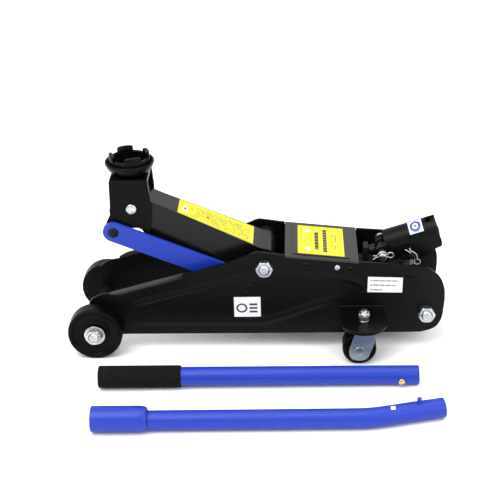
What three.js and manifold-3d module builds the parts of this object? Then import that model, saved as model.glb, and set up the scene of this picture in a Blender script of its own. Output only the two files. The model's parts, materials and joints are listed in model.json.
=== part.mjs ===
// Hydraulic trolley jack with its two-piece pump handle lying beside it.
// X runs from the front wheels to the handle socket, Y across the jack, Z up; millimetres.
// Pieces are laid out from the front axle, then the whole group moves to its footprint centre.
import * as THREE from "three";
import { mergeVertices } from "three/addons/utils/BufferGeometryUtils.js";
import Module from "manifold-3d";

const wasm = await Module();
wasm.setup();

const SIDES = 24;
const UP = new THREE.Vector3(0, 1, 0);

// Frame
const PLATE_IN = 44.7;
const PLATE_OUT = 47.7;
const PIVOT = [205.5, 111.5];
const AXLE_Z = 33;
const TIE = [399, 49];
const LINK_STUD = [183, 84];
const COVER_HALF = 47.7;
const PANEL_HALF = 41.5;
const COVER_RIVET = 2.3;
const COVER_RIVET_AT = [292.1, 109.5];
const SHAFT = 6;
const NUT_BORE = 6.3;

// Lift arm and saddle bracket
const HEAD = [48.7, 178.3];
const ARM_LENGTH = Math.hypot(PIVOT[0] - HEAD[0], HEAD[1] - PIVOT[1]);
const ARM_TILT = Math.atan2(HEAD[1] - PIVOT[1], PIVOT[0] - HEAD[0]);
const RAM_PIN = [19.3, -37.3];
const ARM_FRONT_HALF = 19.5;
const ARM_REAR_HALF = 26.5;
const ARM_WALL = 4.5;
const LINK_PIN = [26.2, 150.8];
const SADDLE = [47.2, 216];

// Hydraulic unit
const RAM_Z = 74;
const SPRING_Y = 37;
const PLUNGER_X = 379;

// Handle socket, along its own sloping axis from the socket pin
const SOCKET_PIN = [347, 113];
const SOCKET_TILT = 18;
const SOCKET_END = 71.5;
const SOCKET_RADIUS = 17;
const SOCKET_RISE = 3;
const SOCKET_INSIDE = 13.9;
const PUMP_PIN = [33.5, -10.3];

// Wheels
const WHEEL_RADIUS = 33;
const CASTER_X = 323;
const CASTER_Y = 75;
const CASTER_TRAIL = 5.3;
const CASTER_RADIUS = 20;
const CASTER_BOLT = 4;

// Loose handle
const UPPER_RADIUS = 11.1;
const GRIP_RADIUS = 13;
const GRIP_LENGTH = 96.5;
const UPPER_LENGTH = 372.3;
const BUTTON_X = 351.8;
const BUTTON_LINE = [-0.978, -0.208];
const LOWER_Z = 14.6;

// Footprint centre of the whole set
const CENTRE = [194, -67.6];

const rad = (degrees) => (degrees * Math.PI) / 180;

function solid(geometry) {
  geometry.deleteAttribute("normal");
  geometry.deleteAttribute("uv");
  const merged = mergeVertices(geometry, 1e-4);
  const mesh = new wasm.Mesh({
    numProp: 3,
    vertProperties: merged.attributes.position.array,
    triVerts: new Uint32Array(merged.index.array),
  });
  return new wasm.Manifold(mesh);
}

function geometryOf(body) {
  const mesh = body.getMesh();
  const geometry = new THREE.BufferGeometry();
  geometry.setAttribute("position", new THREE.BufferAttribute(mesh.vertProperties, 3));
  geometry.setIndex(new THREE.BufferAttribute(mesh.triVerts, 1));
  geometry.computeVertexNormals();
  return geometry;
}

function join(...bodies) {
  return bodies.reduce((whole, body) => whole.add(body));
}

function cut(body, ...tools) {
  return tools.reduce((left, tool) => left.subtract(tool), body);
}

// Straight round bar between two points, tapering when the end radius differs.
function rod(radius, from, to, sides = SIDES, endRadius = radius) {
  const start = new THREE.Vector3(...from);
  const end = new THREE.Vector3(...to);
  const span = end.clone().sub(start);
  const bar = new THREE.CylinderGeometry(endRadius, radius, span.length(), sides);
  bar.applyQuaternion(new THREE.Quaternion().setFromUnitVectors(UP, span.normalize()));
  const middle = start.add(end).multiplyScalar(0.5);
  bar.translate(middle.x, middle.y, middle.z);
  return solid(bar);
}

function crossBar(radius, [x, z], y0, y1, sides = SIDES) {
  return rod(radius, [x, y0, z], [x, y1, z], sides);
}

function post(radius, x, y, z0, z1, sides = SIDES, topRadius = radius) {
  return rod(radius, [x, y, z0], [x, y, z1], sides, topRadius);
}

function block([x0, x1], [y0, y1], [z0, z1]) {
  const box = new THREE.BoxGeometry(x1 - x0, y1 - y0, z1 - z0);
  box.translate((x0 + x1) / 2, (y0 + y1) / 2, (z0 + z1) / 2);
  return solid(box);
}

// Closed outline through corner points; a third number rounds that corner.
function outline(corners) {
  const shape = new THREE.Shape();
  const span = ([x, z], [a, b]) => Math.hypot(a - x, b - z);
  const toward = ([x, z], [a, b], reach) => {
    const share = reach / span([x, z], [a, b]);
    return [x + (a - x) * share, z + (b - z) * share];
  };
  corners.forEach((corner, index) => {
    const before = corners.at(index - 1);
    const after = corners[(index + 1) % corners.length];
    const reach = Math.min(corner[2] ?? 0, 0.45 * span(corner, before), 0.45 * span(corner, after));
    const entry = toward(corner, before, reach);
    const exit = toward(corner, after, reach);
    if (index === 0) shape.moveTo(...entry);
    else shape.lineTo(...entry);
    if (reach > 0) shape.quadraticCurveTo(corner[0], corner[1], ...exit);
  });
  return shape;
}

// Strip with round ends between two points.
function strap([ax, az], [bx, bz], startRadius, endRadius = startRadius) {
  const turn = Math.atan2(bz - az, bx - ax);
  const shape = new THREE.Shape();
  shape.absarc(bx, bz, endRadius, turn - Math.PI / 2, turn + Math.PI / 2);
  shape.absarc(ax, az, startRadius, turn + Math.PI / 2, turn + (3 * Math.PI) / 2);
  return shape;
}

// Sheet standing in the X-Z plane, from y0 to y1.
function slab(shape, y0, y1, curveSegments = 5) {
  const options = { depth: y1 - y0, bevelEnabled: false, curveSegments };
  const sheet = new THREE.ExtrudeGeometry(shape, options);
  sheet.rotateX(Math.PI / 2);
  sheet.translate(0, y1, 0);
  return solid(sheet);
}

// Sheet lying in the X-Y plane, from z0 to z1.
function sheet(shape, z0, z1, curveSegments = 5) {
  const options = { depth: z1 - z0, bevelEnabled: false, curveSegments };
  const flat = new THREE.ExtrudeGeometry(shape, options);
  flat.translate(0, 0, z0);
  return solid(flat);
}

// Turned piece about a vertical axis, profile points [radius, height].
function turned(profile, sides = SIDES) {
  const points = profile.map(([radius, height]) => new THREE.Vector2(radius, height));
  const body = new THREE.LatheGeometry(points, sides);
  body.rotateX(Math.PI / 2);
  return solid(body);
}

function tube(radius, bore, from, to, sides = SIDES) {
  const start = new THREE.Vector3(...from);
  const end = new THREE.Vector3(...to);
  const past = end.clone().sub(start).normalize();
  const inner = rod(bore, start.clone().sub(past).toArray(), end.clone().add(past).toArray(), sides);
  return cut(rod(radius, from, to, sides), inner);
}

const FINISH = {
  blackPaint: { color: 0x1b1c1e, roughness: 0.45, metalness: 0.3 },
  bluePaint: { color: 0x2c3bd0, roughness: 0.35, metalness: 0.1 },
  zinc: { color: 0xc3c7cd, roughness: 0.3, metalness: 0.9 },
  steel: { color: 0x7f8489, roughness: 0.35, metalness: 0.9 },
  darkSteel: { color: 0x3a3c40, roughness: 0.45, metalness: 0.8 },
  castIron: { color: 0x242528, roughness: 0.7, metalness: 0.4 },
  wheelPaint: { color: 0x17181a, roughness: 0.5, metalness: 0.3 },
  nylon: { color: 0x1a1a1c, roughness: 0.6, metalness: 0 },
  foam: { color: 0x2a2a2c, roughness: 0.95, metalness: 0 },
  brass: { color: 0xb08d3c, roughness: 0.3, metalness: 0.9 },
};

function piece(parent, name, finish, body) {
  const mesh = new THREE.Mesh(geometryOf(body), new THREE.MeshStandardMaterial(FINISH[finish]));
  mesh.name = name;
  parent.add(mesh);
  return mesh;
}

function frameGroup(parent, x, y, z) {
  const group = new THREE.Group();
  group.position.set(x, y, z);
  parent.add(group);
  return group;
}

const PLATE_EDGE = [
  [-4, 21, 10],
  [395, 21, 6],
  [411.7, 27.6, 4],
  [418.2, 40, 4],
  [420.6, 64, 4],
  [420.4, 80, 4],
  [415, 95, 5],
  [401, 108.3, 6],
  [373.8, 112.3, 6],
  [318, 116.6],
  [318, 113.4],
  [229.6, 123],
  [229.6, 126.3],
  [196.2, 131.5, 4],
  [186.6, 126.8, 4],
  [153, 114, 5],
  [120, 104.6, 5],
  [107.9, 103.5],
  [18.5, 78.5],
  [6.6, 75.7, 4],
  [-6, 69, 6],
  [-12, 50, 8],
];

// Side plate on the side of the given sign, with its pressed ribs and front flange.
function sidePlate(side) {
  const across = (near, far) => (side > 0 ? [near, far] : [-far, -near]);
  const flangeBand = outline([[18.5, 75.3], [107.9, 100.3], [107.9, 103.5], [18.5, 78.5]]);
  const flangePlan = outline([[18, 45], [108, 45], [108, 58, 2], [30, 59, 6], [18, 52, 4]]);
  const flange = slab(flangeBand, ...across(PLATE_OUT - 1, 60)).intersect(
    side > 0 ? sheet(flangePlan, 70, 110) : sheet(flangePlan, 70, 110).mirror([0, 1, 0]),
  );
  const ribs = [
    strap([46, 39], [200, 38], 3.2),
    strap([200, 38], [278, 64], 3.2),
    strap([43, 61], [130, 85], 2.2),
    strap([130, 85], [185, 101], 2.2),
    strap([228, 103], [307, 93], 2.2),
  ].map((shape) => slab(shape, ...across(PLATE_OUT - 0.5, PLATE_OUT + 1), 3));
  const dimple = crossBar(7, LINK_STUD, ...across(PLATE_OUT - 0.5, PLATE_OUT + 1));
  const peg = crossBar(3, [296, RAM_Z], ...across(31, PLATE_IN + 1), 16);
  const through = across(PLATE_IN - 1, 62);
  return cut(
    join(slab(outline(PLATE_EDGE), ...across(PLATE_IN, PLATE_OUT)), flange, ...ribs, dimple, peg),
    crossBar(8.4, [0, AXLE_Z], ...through),
    crossBar(6.4, PIVOT, ...through),
    crossBar(6.4, TIE, ...through),
    crossBar(COVER_RIVET + 0.3, COVER_RIVET_AT, ...through, 16),
    slab(strap([371, 97.6], [383, 97.6], 2.2), ...through),
    crossBar(6.4, LINK_STUD, ...across(PLATE_IN - 1, PLATE_IN + 1.7)),
  );
}

function coverPlate() {
  const topEdge = outline([[230, 123.4], [317.4, 114.2], [317.4, 116.9], [230, 126.1]]);
  const panelEdge = outline([[238, 124.5], [308, 117], [307, 119.1, 1], [239, 126.3, 1]]);
  const lipEdge = outline([[236, 104, 3], [312, 104, 3], [312, 115.5], [236, 123.5]]);
  const top = slab(topEdge, -COVER_HALF, COVER_HALF);
  const panel = slab(panelEdge, -PANEL_HALF, PANEL_HALF);
  const lips = [[-44.3, -41.8], [41.8, 44.3]].map(([y0, y1]) => slab(lipEdge, y0, y1));
  return cut(
    join(top, panel, ...lips),
    crossBar(COVER_RIVET + 0.3, COVER_RIVET_AT, -50, 50, 16),
  );
}

function frontWheel(side) {
  const profile = [
    [8.4, 0],
    [WHEEL_RADIUS - 1, 0],
    [WHEEL_RADIUS, 1.2],
    [WHEEL_RADIUS, 18.8],
    [WHEEL_RADIUS - 1, 20],
    [WHEEL_RADIUS - 5, 20],
    [WHEEL_RADIUS - 7, 17],
    [15, 15.5],
    [13, 17.7],
    [8.4, 17.7],
    [8.4, 0],
  ];
  const wheel = turned(profile, 40).rotate([side > 0 ? -90 : 90, 0, 0]);
  return wheel.translate([0, side * 50.4, 0]);
}

// Fixed half-moon plate that the caster turns under, with its weld flange on the side plate.
function casterBracket() {
  const plan = new THREE.Shape();
  plan.moveTo(294.5, 48.1);
  plan.lineTo(350.5, 48.1);
  plan.lineTo(350.5, 72);
  plan.absarc(CASTER_X, CASTER_Y, 27.6, 0, Math.PI);
  plan.lineTo(295.4, 72);
  const shelf = sheet(plan, 47, 52, 12);
  const flange = block([294.5, 350.5], [48.1, 51], [51, 59.5]);
  return cut(join(shelf, flange), post(CASTER_BOLT + 0.3, CASTER_X, CASTER_Y, 40, 60));
}

function casterBolt() {
  return join(
    post(CASTER_BOLT, CASTER_X, CASTER_Y, 41.6, 67),
    post(7.5, CASTER_X, CASTER_Y, 40.6, 43.3),
  );
}

function casterNut() {
  const spring = post(5.8, CASTER_X, CASTER_Y, 52.3, 57.6);
  const hexagon = post(7.4, CASTER_X, CASTER_Y, 57.4, 64.5, 6);
  return cut(join(spring, hexagon), post(CASTER_BOLT + 0.3, CASTER_X, CASTER_Y, 50, 70));
}

// Swivel fork about its own upright axis.
function casterFork() {
  const plan = outline([[-12, -15.5, 4], [15, -15.5, 4], [15, 15.5, 4], [-12, 15.5, 4]]);
  const crown = cut(sheet(plan, 43.6, 46.6), post(CASTER_BOLT + 0.3, 0, 0, 40, 50));
  const axle = [-CASTER_TRAIL, CASTER_RADIUS];
  const legShape = outline([
    [-9.5, 46.6],
    [14, 46.6],
    [12.5, 34, 6],
    [7, 8, 9],
    [-17, 8, 9],
    [-16, 28, 8],
  ]);
  const legs = [[-15.5, -13.3], [13.3, 15.5]].map(([y0, y1]) => slab(legShape, y0, y1));
  return cut(join(crown, ...legs), crossBar(4.4, axle, -20, 20));
}

function casterAxle() {
  const centre = [-CASTER_TRAIL, CASTER_RADIUS];
  return join(
    crossBar(4, centre, -17.6, 17.6, 20),
    crossBar(6, centre, 15.8, 17.6, 20),
    crossBar(6, centre, -17.6, -15.8, 20),
  );
}

function casterWheel() {
  const profile = [
    [4.4, -11],
    [CASTER_RADIUS - 1.5, -11],
    [CASTER_RADIUS, -9.5],
    [CASTER_RADIUS, 9.5],
    [CASTER_RADIUS - 1.5, 11],
    [4.4, 11],
    [4.4, -11],
  ];
  return turned(profile, 32).rotate([90, 0, 0]);
}

const armPlan = (inset) =>
  outline([
    [-200, -ARM_FRONT_HALF + inset],
    [-138, -ARM_FRONT_HALF + inset],
    [-20, -ARM_REAR_HALF + inset],
    [60, -ARM_REAR_HALF + inset],
    [60, ARM_REAR_HALF - inset],
    [-20, ARM_REAR_HALF - inset],
    [-138, ARM_FRONT_HALF - inset],
    [-200, ARM_FRONT_HALF - inset],
  ]);

// Pressed channel with a lever under its pivot, in its own frame from the pivot.
function liftArm() {
  const side = outline([
    [-186, 16.3, 12],
    [-10, 11.6, 4],
    [1, 13.5, 2],
    [11, 9.5, 3],
    [14, 3, 3],
    [31.5, -33, 8],
    [26, -49.5, 8],
    [8, -44, 8],
    [-22, -27.5, 10],
    [-139, -29.5, 4],
    [-147, -22.5, 3],
    [-186, -9, 9],
  ]);
  const hollow = outline([
    [-200, 12.6],
    [-30, 7.8],
    [-8, 7.4],
    [3, 8.6, 2],
    [8.5, 4, 2],
    [9, -6],
    [60, -6],
    [60, -60],
    [-200, -60],
  ]);
  const outer = slab(side, -30, 30).intersect(sheet(armPlan(0), -70, 40));
  const inner = slab(hollow, -30, 30).intersect(sheet(armPlan(ARM_WALL), -80, 40));
  const bush = crossBar(9.6, [0, 0], -23, 23);
  return cut(
    join(cut(outer, inner), bush),
    crossBar(6.4, [0, 0], -40, 40),
    crossBar(7.3, RAM_PIN, -40, 40),
    crossBar(6.8, [-ARM_LENGTH, 0], -40, 40),
  );
}

function domedPin(radius, centre, reach) {
  const [x, z] = centre;
  return join(
    crossBar(radius, centre, -reach + 1.2, reach - 1.2),
    rod(radius, [x, reach - 1.4, z], [x, reach, z], SIDES, radius - 1.6),
    rod(radius, [x, -reach + 1.4, z], [x, -reach, z], SIDES, radius - 1.6),
  );
}

function saddleBracket() {
  const cheek = outline([
    [24.3, 215.4, 3],
    [69.8, 215.4, 3],
    [72, 188, 3],
    [70.8, 160, 3],
    [68, 144, 4],
    [64, 144, 3],
    [59, 154, 6],
    [43, 154, 6],
    [36, 143, 3],
    [28, 140.5, 4],
    [16.5, 143, 6],
    [16, 158, 6],
    [23, 171, 4],
    [23.8, 190, 4],
  ]);
  const cheeks = [[-26, -21], [21, 26]].map(([y0, y1]) => slab(cheek, y0, y1));
  const top = block([24.8, 69.4], [-25, 25], [210.4, 215.4]);
  return cut(
    join(top, ...cheeks),
    post(8.4, SADDLE[0], 0, 200, 220),
    crossBar(6.8, HEAD, -40, 40),
    crossBar(6.1, LINK_PIN, -40, 40),
  );
}

// Turned cup with a stem and four raised teeth, in its own frame from the cup's underside.
function saddle() {
  const cup = turned([
    [0, -12.5],
    [8, -12.5],
    [8, 0],
    [15, 0],
    [21, 0.8],
    [26, 5],
    [28.9, 11],
    [29.5, 14],
    [29.2, 15],
    [27.4, 15],
    [25.6, 10.5],
    [24.4, 10.5],
    [24.4, 19],
    [19.4, 19],
    [19.4, 4.5],
    [0, 4.5],
  ], 36);
  const teeth = [-5.5, 84.5, 174.5, 264.5].map((turn) => {
    const tooth = new THREE.Shape();
    tooth.absarc(0, 0, 24.1, rad(turn), rad(turn + 49), false);
    tooth.absarc(0, 0, 19.8, rad(turn + 49), rad(turn), true);
    return sheet(tooth, 18, 25.1, 6);
  });
  return join(cup, ...teeth);
}

function link() {
  const bar = slab(strap([26, 151.4], [183.2, 84.6], 12.4, 12), 28, 32.5, 8);
  return cut(bar, crossBar(6.1, LINK_PIN, 20, 40), crossBar(6.1, LINK_STUD, 20, 40));
}

function linkStud() {
  return join(
    crossBar(5.8, LINK_STUD, 27.5, 46.1),
    crossBar(8.5, LINK_STUD, 26.9, 27.6),
    crossBar(9, LINK_STUD, 33, 44.4),
  );
}

function pumpBlock() {
  const body = join(
    block([325, 389], [-30, 30], [45, 88]),
    block([325, 331], [-9, 9], [86, 116]),
  );
  const earShape = strap(SOCKET_PIN, [SOCKET_PIN[0], 88], 7.5);
  const ears = [[-12.5, -9], [9, 12.5]].map(([y0, y1]) => slab(earShape, y0, y1));
  const seat = post(13, PLUNGER_X, 0, 86, 92);
  return cut(
    join(body, seat, ...ears),
    crossBar(5.4, SOCKET_PIN, -20, 20),
    post(6.4, PLUNGER_X, 0, 49, 100),
    rod(10, [320, 0, RAM_Z], [336, 0, RAM_Z]),
    rod(4.4, valvePoint(-30), valvePoint(-15)),
  );
}

// Point along the handle socket's sloping centre line.
function valvePoint(reach) {
  return [
    SOCKET_PIN[0] + reach * Math.cos(rad(SOCKET_TILT)),
    0,
    SOCKET_PIN[1] + reach * Math.sin(rad(SOCKET_TILT)),
  ];
}

function ram() {
  return join(
    rod(14, [217, 0, RAM_Z], [225, 0, RAM_Z]),
    rod(9, [224, 0, RAM_Z], [305, 0, RAM_Z]),
    block([227, 233], [-41, 41], [RAM_Z - 4, RAM_Z + 4]),
  );
}

function gland() {
  return cut(
    join(
      rod(28, [262.5, 0, RAM_Z], [270, 0, RAM_Z]),
      rod(23, [259, 0, RAM_Z], [263, 0, RAM_Z], 8),
    ),
    rod(9.4, [250, 0, RAM_Z], [280, 0, RAM_Z]),
  );
}

function plunger() {
  return join(
    post(6, PLUNGER_X, 0, 55, 106),
    post(11, PLUNGER_X, 0, 104, 108.3),
  );
}

// Handle socket in its own frame: X along the bore from the socket pin.
function handleSocket() {
  const cheek = outline([
    [-8, 8, 8],
    [10, 9, 3],
    [14, 3.5],
    [66, 3.5, 4],
    [72.5, -3, 3],
    [71.5, -14, 4],
    [62, -14.5, 3],
    [54, -20, 4],
    [34, -21, 8],
    [22, -16, 6],
    [8, -12, 4],
    [-8, -11, 8],
  ]);
  const cheeks = [[-SOCKET_RADIUS, -14], [14, SOCKET_RADIUS]].map(([y0, y1]) => slab(cheek, y0, y1));
  const barrel = (radius, x0, x1) => rod(radius, [x0, 0, SOCKET_RISE], [x1, 0, SOCKET_RISE], 32);
  return cut(
    join(barrel(SOCKET_RADIUS, 7, SOCKET_END), ...cheeks),
    barrel(SOCKET_INSIDE, 0, 14),
    barrel(11.6, 38, 80),
    rod(4.9, [0, 0, 0], [40, 0, 0]),
    block([-20, 14], [-SOCKET_INSIDE, SOCKET_INSIDE], [-30, SOCKET_RISE]),
    block([10, 52], [-SOCKET_INSIDE, SOCKET_INSIDE], [-30, -6]),
    crossBar(4.4, PUMP_PIN, -40, 40),
    crossBar(5.4, [0, 0], -40, 40),
    block([63, 75], [-2.8, 2.8], [12, 24]),
    block([60, 66], [-8, 2.8], [12, 24]),
  );
}

function stubPin(side) {
  const body = join(
    crossBar(5, SOCKET_PIN, 8.4, 30, 24),
    crossBar(7.5, SOCKET_PIN, 6.8, 8.6, 24),
  );
  return side > 0 ? body : body.mirror([0, 1, 0]);
}

function pumpPin() {
  return join(
    crossBar(4, PUMP_PIN, -30, 21, 24),
    crossBar(6.5, PUMP_PIN, 17.4, 21, 24),
  );
}

// Spring-wire hairpin clip that snaps round a pin end, its open legs to the front.
function wireClip([x, z], y, pinRadius) {
  const grip = pinRadius + 1.5;
  const path = [
    [-13, 0.5],
    [-6, 1.1],
    [0, 1.08],
    [6, 0.95],
    [10.5, 0.8],
    [13.5, 0],
    [10.5, -0.8],
    [6, -0.95],
    [0, -1.08],
    [-6, -1.1],
    [-12, -0.5],
  ];
  const curve = new THREE.CatmullRomCurve3(
    path.map(([along, up]) => new THREE.Vector3(x + along, y, z + up * grip)),
  );
  const section = new THREE.Shape();
  section.absarc(0, 0, 0.9, 0, 2 * Math.PI);
  return solid(new THREE.ExtrudeGeometry(section, { steps: 26, extrudePath: curve, curveSegments: 3 }));
}

function valveScrew() {
  return join(
    rod(6.5, valvePoint(-14.5), valvePoint(-7)),
    rod(3.8, valvePoint(-22.5), valvePoint(-13)),
  );
}

function valveYoke() {
  return join(
    rod(4.4, [-1, 0, 0], [39, 0, 0]),
    rod(6.2, [-2.8, 0, 0], [2.4, 0, 0]),
    block([38.4, 41.5], [-9, 9], [-2.2, 2.2]),
  );
}

// Point on the lock button's own line, a distance out from the tube's centre.
const buttonPoint = (reach) => [BUTTON_X, ...BUTTON_LINE.map((share) => share * reach)];

function upperTube() {
  const shell = rod(UPPER_RADIUS, [0, 0, 0], [UPPER_LENGTH, 0, 0], 32);
  const mouth = rod(UPPER_RADIUS - 1.6, [330, 0, 0], [UPPER_LENGTH + 5, 0, 0], 32);
  const button = rod(4.4, buttonPoint(0), buttonPoint(14), 20);
  return cut(shell, mouth, button);
}

function lowerHandle() {
  const run = new THREE.CatmullRomCurve3(
    [
      [74, -221.5],
      [196, -220.3],
      [300, -219.1],
      [322, -218.4],
      [344, -213.8],
      [372, -206.5],
      [405.7, -198.2],
    ].map(([x, y]) => new THREE.Vector3(x, y, LOWER_Z - 3.3)),
  );
  const section = new THREE.Shape();
  section.absarc(0, 0, 11.2, 0, 2 * Math.PI);
  const options = { steps: 24, extrudePath: run, curveSegments: 11 };
  const pipe = solid(new THREE.ExtrudeGeometry(section, options));
  const sleeve = rod(LOWER_Z, [15.9, -223, LOWER_Z], [76, -223, LOWER_Z], 32);
  const peg = post(2.6, 378, -205.2, LOWER_Z + 5, LOWER_Z + 14, 16);
  return cut(join(pipe, sleeve, peg), rod(11.9, [10, -223, LOWER_Z], [66, -223, LOWER_Z], 32));
}

function foamGrip() {
  return tube(GRIP_RADIUS, UPPER_RADIUS + 0.3, [0, 0, 0], [GRIP_LENGTH, 0, 0], 32);
}

// Plain hexagon nut on a cross shaft.
function hexNut(radius, centre, y0, y1) {
  return cut(crossBar(radius, centre, y0, y1, 6), crossBar(NUT_BORE, centre, y0 - 5, y1 + 5));
}

function coverRivet() {
  return join(
    crossBar(COVER_RIVET, COVER_RIVET_AT, 41, 49, 16),
    crossBar(COVER_RIVET + 1, COVER_RIVET_AT, 48, 49.2, 16),
  );
}

function pivotSpacer() {
  return cut(crossBar(11, PIVOT, 26.9, 44.4), crossBar(SHAFT + 0.4, PIVOT, 20, 50));
}

// Nut of a front wheel, with its washer face against the hub.
function axleNut() {
  const face = crossBar(12.5, [0, AXLE_Z], 70.9, 72.6);
  const hexagon = crossBar(10.3, [0, AXLE_Z], 72.4, 78.6, 6);
  return cut(join(face, hexagon), crossBar(NUT_BORE, [0, AXLE_Z], 60, 90));
}

function returnSpring() {
  return tube(4.6, 3.4, [233.4, SPRING_Y, RAM_Z], [292.6, SPRING_Y, RAM_Z], 20);
}

function frontAxle() {
  return join(
    crossBar(8, [0, AXLE_Z], -70.6, 70.6),
    crossBar(SHAFT, [0, AXLE_Z], -80, 80),
  );
}

// Bolt tying the rear ends of the plates, with its spacer sleeve and hexagon head.
function rearTieBolt() {
  return join(
    crossBar(SHAFT, TIE, -59.5, 50),
    crossBar(8.5, TIE, -44.4, 44.4),
    crossBar(10.3, TIE, 48.1, 55, 6),
  );
}

const jack = new THREE.Group();
jack.position.set(-CENTRE[0], -CENTRE[1], 0);

for (const side of [-1, 1]) {
  const label = side < 0 ? "left" : "right";
  const mirrored = (body) => (side < 0 ? body.mirror([0, 1, 0]) : body);
  piece(jack, `${label}_side_plate`, "blackPaint", sidePlate(side));
  piece(jack, `cover_rivet_${label}`, "zinc", mirrored(coverRivet()));
  piece(jack, `pivot_spacer_${label}`, "darkSteel", mirrored(pivotSpacer()));
  piece(jack, `pivot_nut_${label}`, "zinc", mirrored(hexNut(10.8, PIVOT, 48.1, 57.3)));
  piece(jack, `axle_nut_${label}`, "zinc", mirrored(axleNut()));
  piece(jack, `caster_bracket_${label}`, "blackPaint", mirrored(casterBracket()));
  piece(jack, `caster_bolt_${label}`, "zinc", mirrored(casterBolt()));
  piece(jack, `caster_nut_${label}`, "zinc", mirrored(casterNut()));
  piece(jack, `link_stud_${label}`, "darkSteel", mirrored(linkStud()));
  piece(jack, `socket_pin_${label}`, "darkSteel", stubPin(side));
  piece(jack, `return_spring_${label}`, "steel", mirrored(returnSpring()));
  piece(jack, `${label}_link`, "bluePaint", mirrored(link()));

  const wheelHub = frameGroup(jack, 0, 0, AXLE_Z);
  piece(wheelHub, `front_wheel_${label}`, "wheelPaint", frontWheel(side));

  const swivel = frameGroup(jack, CASTER_X, side * CASTER_Y, 0);
  piece(swivel, `caster_fork_${label}`, "zinc", casterFork());
  piece(swivel, `caster_axle_${label}`, "steel", casterAxle());
  const roller = frameGroup(swivel, -CASTER_TRAIL, 0, CASTER_RADIUS);
  piece(roller, `caster_wheel_${label}`, "nylon", casterWheel());
}

piece(jack, "cover_plate", "blackPaint", coverPlate());
piece(jack, "pivot_shaft", "darkSteel", crossBar(SHAFT, PIVOT, -59, 59));
piece(jack, "front_axle", "darkSteel", frontAxle());
piece(jack, "rear_tie_bolt", "darkSteel", rearTieBolt());
piece(jack, "rear_nut", "zinc", hexNut(10.8, TIE, -58, -48.1));
piece(jack, "pump_block", "castIron", pumpBlock());
piece(jack, "reservoir_tube", "blackPaint", tube(28, 25, [270.3, 0, RAM_Z], [324.6, 0, RAM_Z]));
piece(jack, "cylinder_gland", "steel", gland());
piece(jack, "release_valve", "steel", valveScrew());
piece(jack, "ram", "steel", ram());
piece(jack, "pump_plunger", "steel", plunger());
piece(jack, "pump_spring", "steel", tube(9.4, 8, [PLUNGER_X, 0, 92.4], [PLUNGER_X, 0, 103.6], 20));

const arm = frameGroup(jack, PIVOT[0], 0, PIVOT[1]);
arm.rotation.y = ARM_TILT;
piece(arm, "lift_arm", "blackPaint", liftArm());
piece(arm, "ram_pin", "steel", crossBar(7, RAM_PIN, -26.2, 26.2));

piece(jack, "head_pin", "zinc", domedPin(6.4, HEAD, 28));
piece(jack, "saddle_bracket", "blackPaint", saddleBracket());
piece(jack, "link_pin", "darkSteel", domedPin(5.8, LINK_PIN, 34.4));
const cup = frameGroup(jack, SADDLE[0], 0, SADDLE[1]);
piece(cup, "saddle", "castIron", saddle());

const socket = frameGroup(jack, SOCKET_PIN[0], 0, SOCKET_PIN[1]);
socket.rotation.y = -rad(SOCKET_TILT);
piece(socket, "handle_socket", "blackPaint", handleSocket());
piece(socket, "valve_yoke", "steel", valveYoke());
piece(socket, "pump_pin", "darkSteel", pumpPin());
piece(socket, "r_clip_rear", "zinc", wireClip(PUMP_PIN, -26.5, 4));
piece(jack, "r_clip_front", "zinc", wireClip(SOCKET_PIN, -26.5, 5));

// The grip end rests on its foam, the far end on the bare tube.
const droop = (GRIP_RADIUS - UPPER_RADIUS) / (UPPER_LENGTH - GRIP_LENGTH);
const upper = frameGroup(jack, 12, -134.2, GRIP_RADIUS + droop * GRIP_LENGTH);
upper.rotation.order = "ZYX";
upper.rotation.z = Math.atan2(4.9, UPPER_LENGTH);
upper.rotation.y = Math.atan(droop);
piece(upper, "upper_handle_tube", "bluePaint", upperTube());
piece(upper, "foam_grip", "foam", foamGrip());
piece(upper, "lock_button", "brass", rod(4, buttonPoint(9.9), buttonPoint(14), 20));

piece(jack, "lower_handle_tube", "bluePaint", lowerHandle());

export default jack;
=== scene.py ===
"""Hydraulic trolley jack with its two-piece handle lying beside it, laid out as an add-on."""

import json
import math

import bmesh
import bpy
from mathutils import Matrix, Vector


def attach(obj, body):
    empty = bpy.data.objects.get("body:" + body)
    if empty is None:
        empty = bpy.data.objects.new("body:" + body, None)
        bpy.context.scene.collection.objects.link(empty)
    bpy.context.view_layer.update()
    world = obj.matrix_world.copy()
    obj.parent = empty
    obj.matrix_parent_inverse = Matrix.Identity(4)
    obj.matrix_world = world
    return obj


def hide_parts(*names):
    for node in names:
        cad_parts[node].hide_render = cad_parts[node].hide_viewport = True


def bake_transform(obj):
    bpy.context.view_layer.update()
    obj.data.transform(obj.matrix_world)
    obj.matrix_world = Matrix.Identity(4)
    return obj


bl_info = {
    "name": "Trolley Jack",
    "version": (1, 0, 0),
    "blender": (4, 5, 0),
    "location": "View3D > Sidebar > Jack",
    "description": "Builds a hydraulic trolley jack with a loose two-piece handle",
    "category": "Add Mesh",
}

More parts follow.
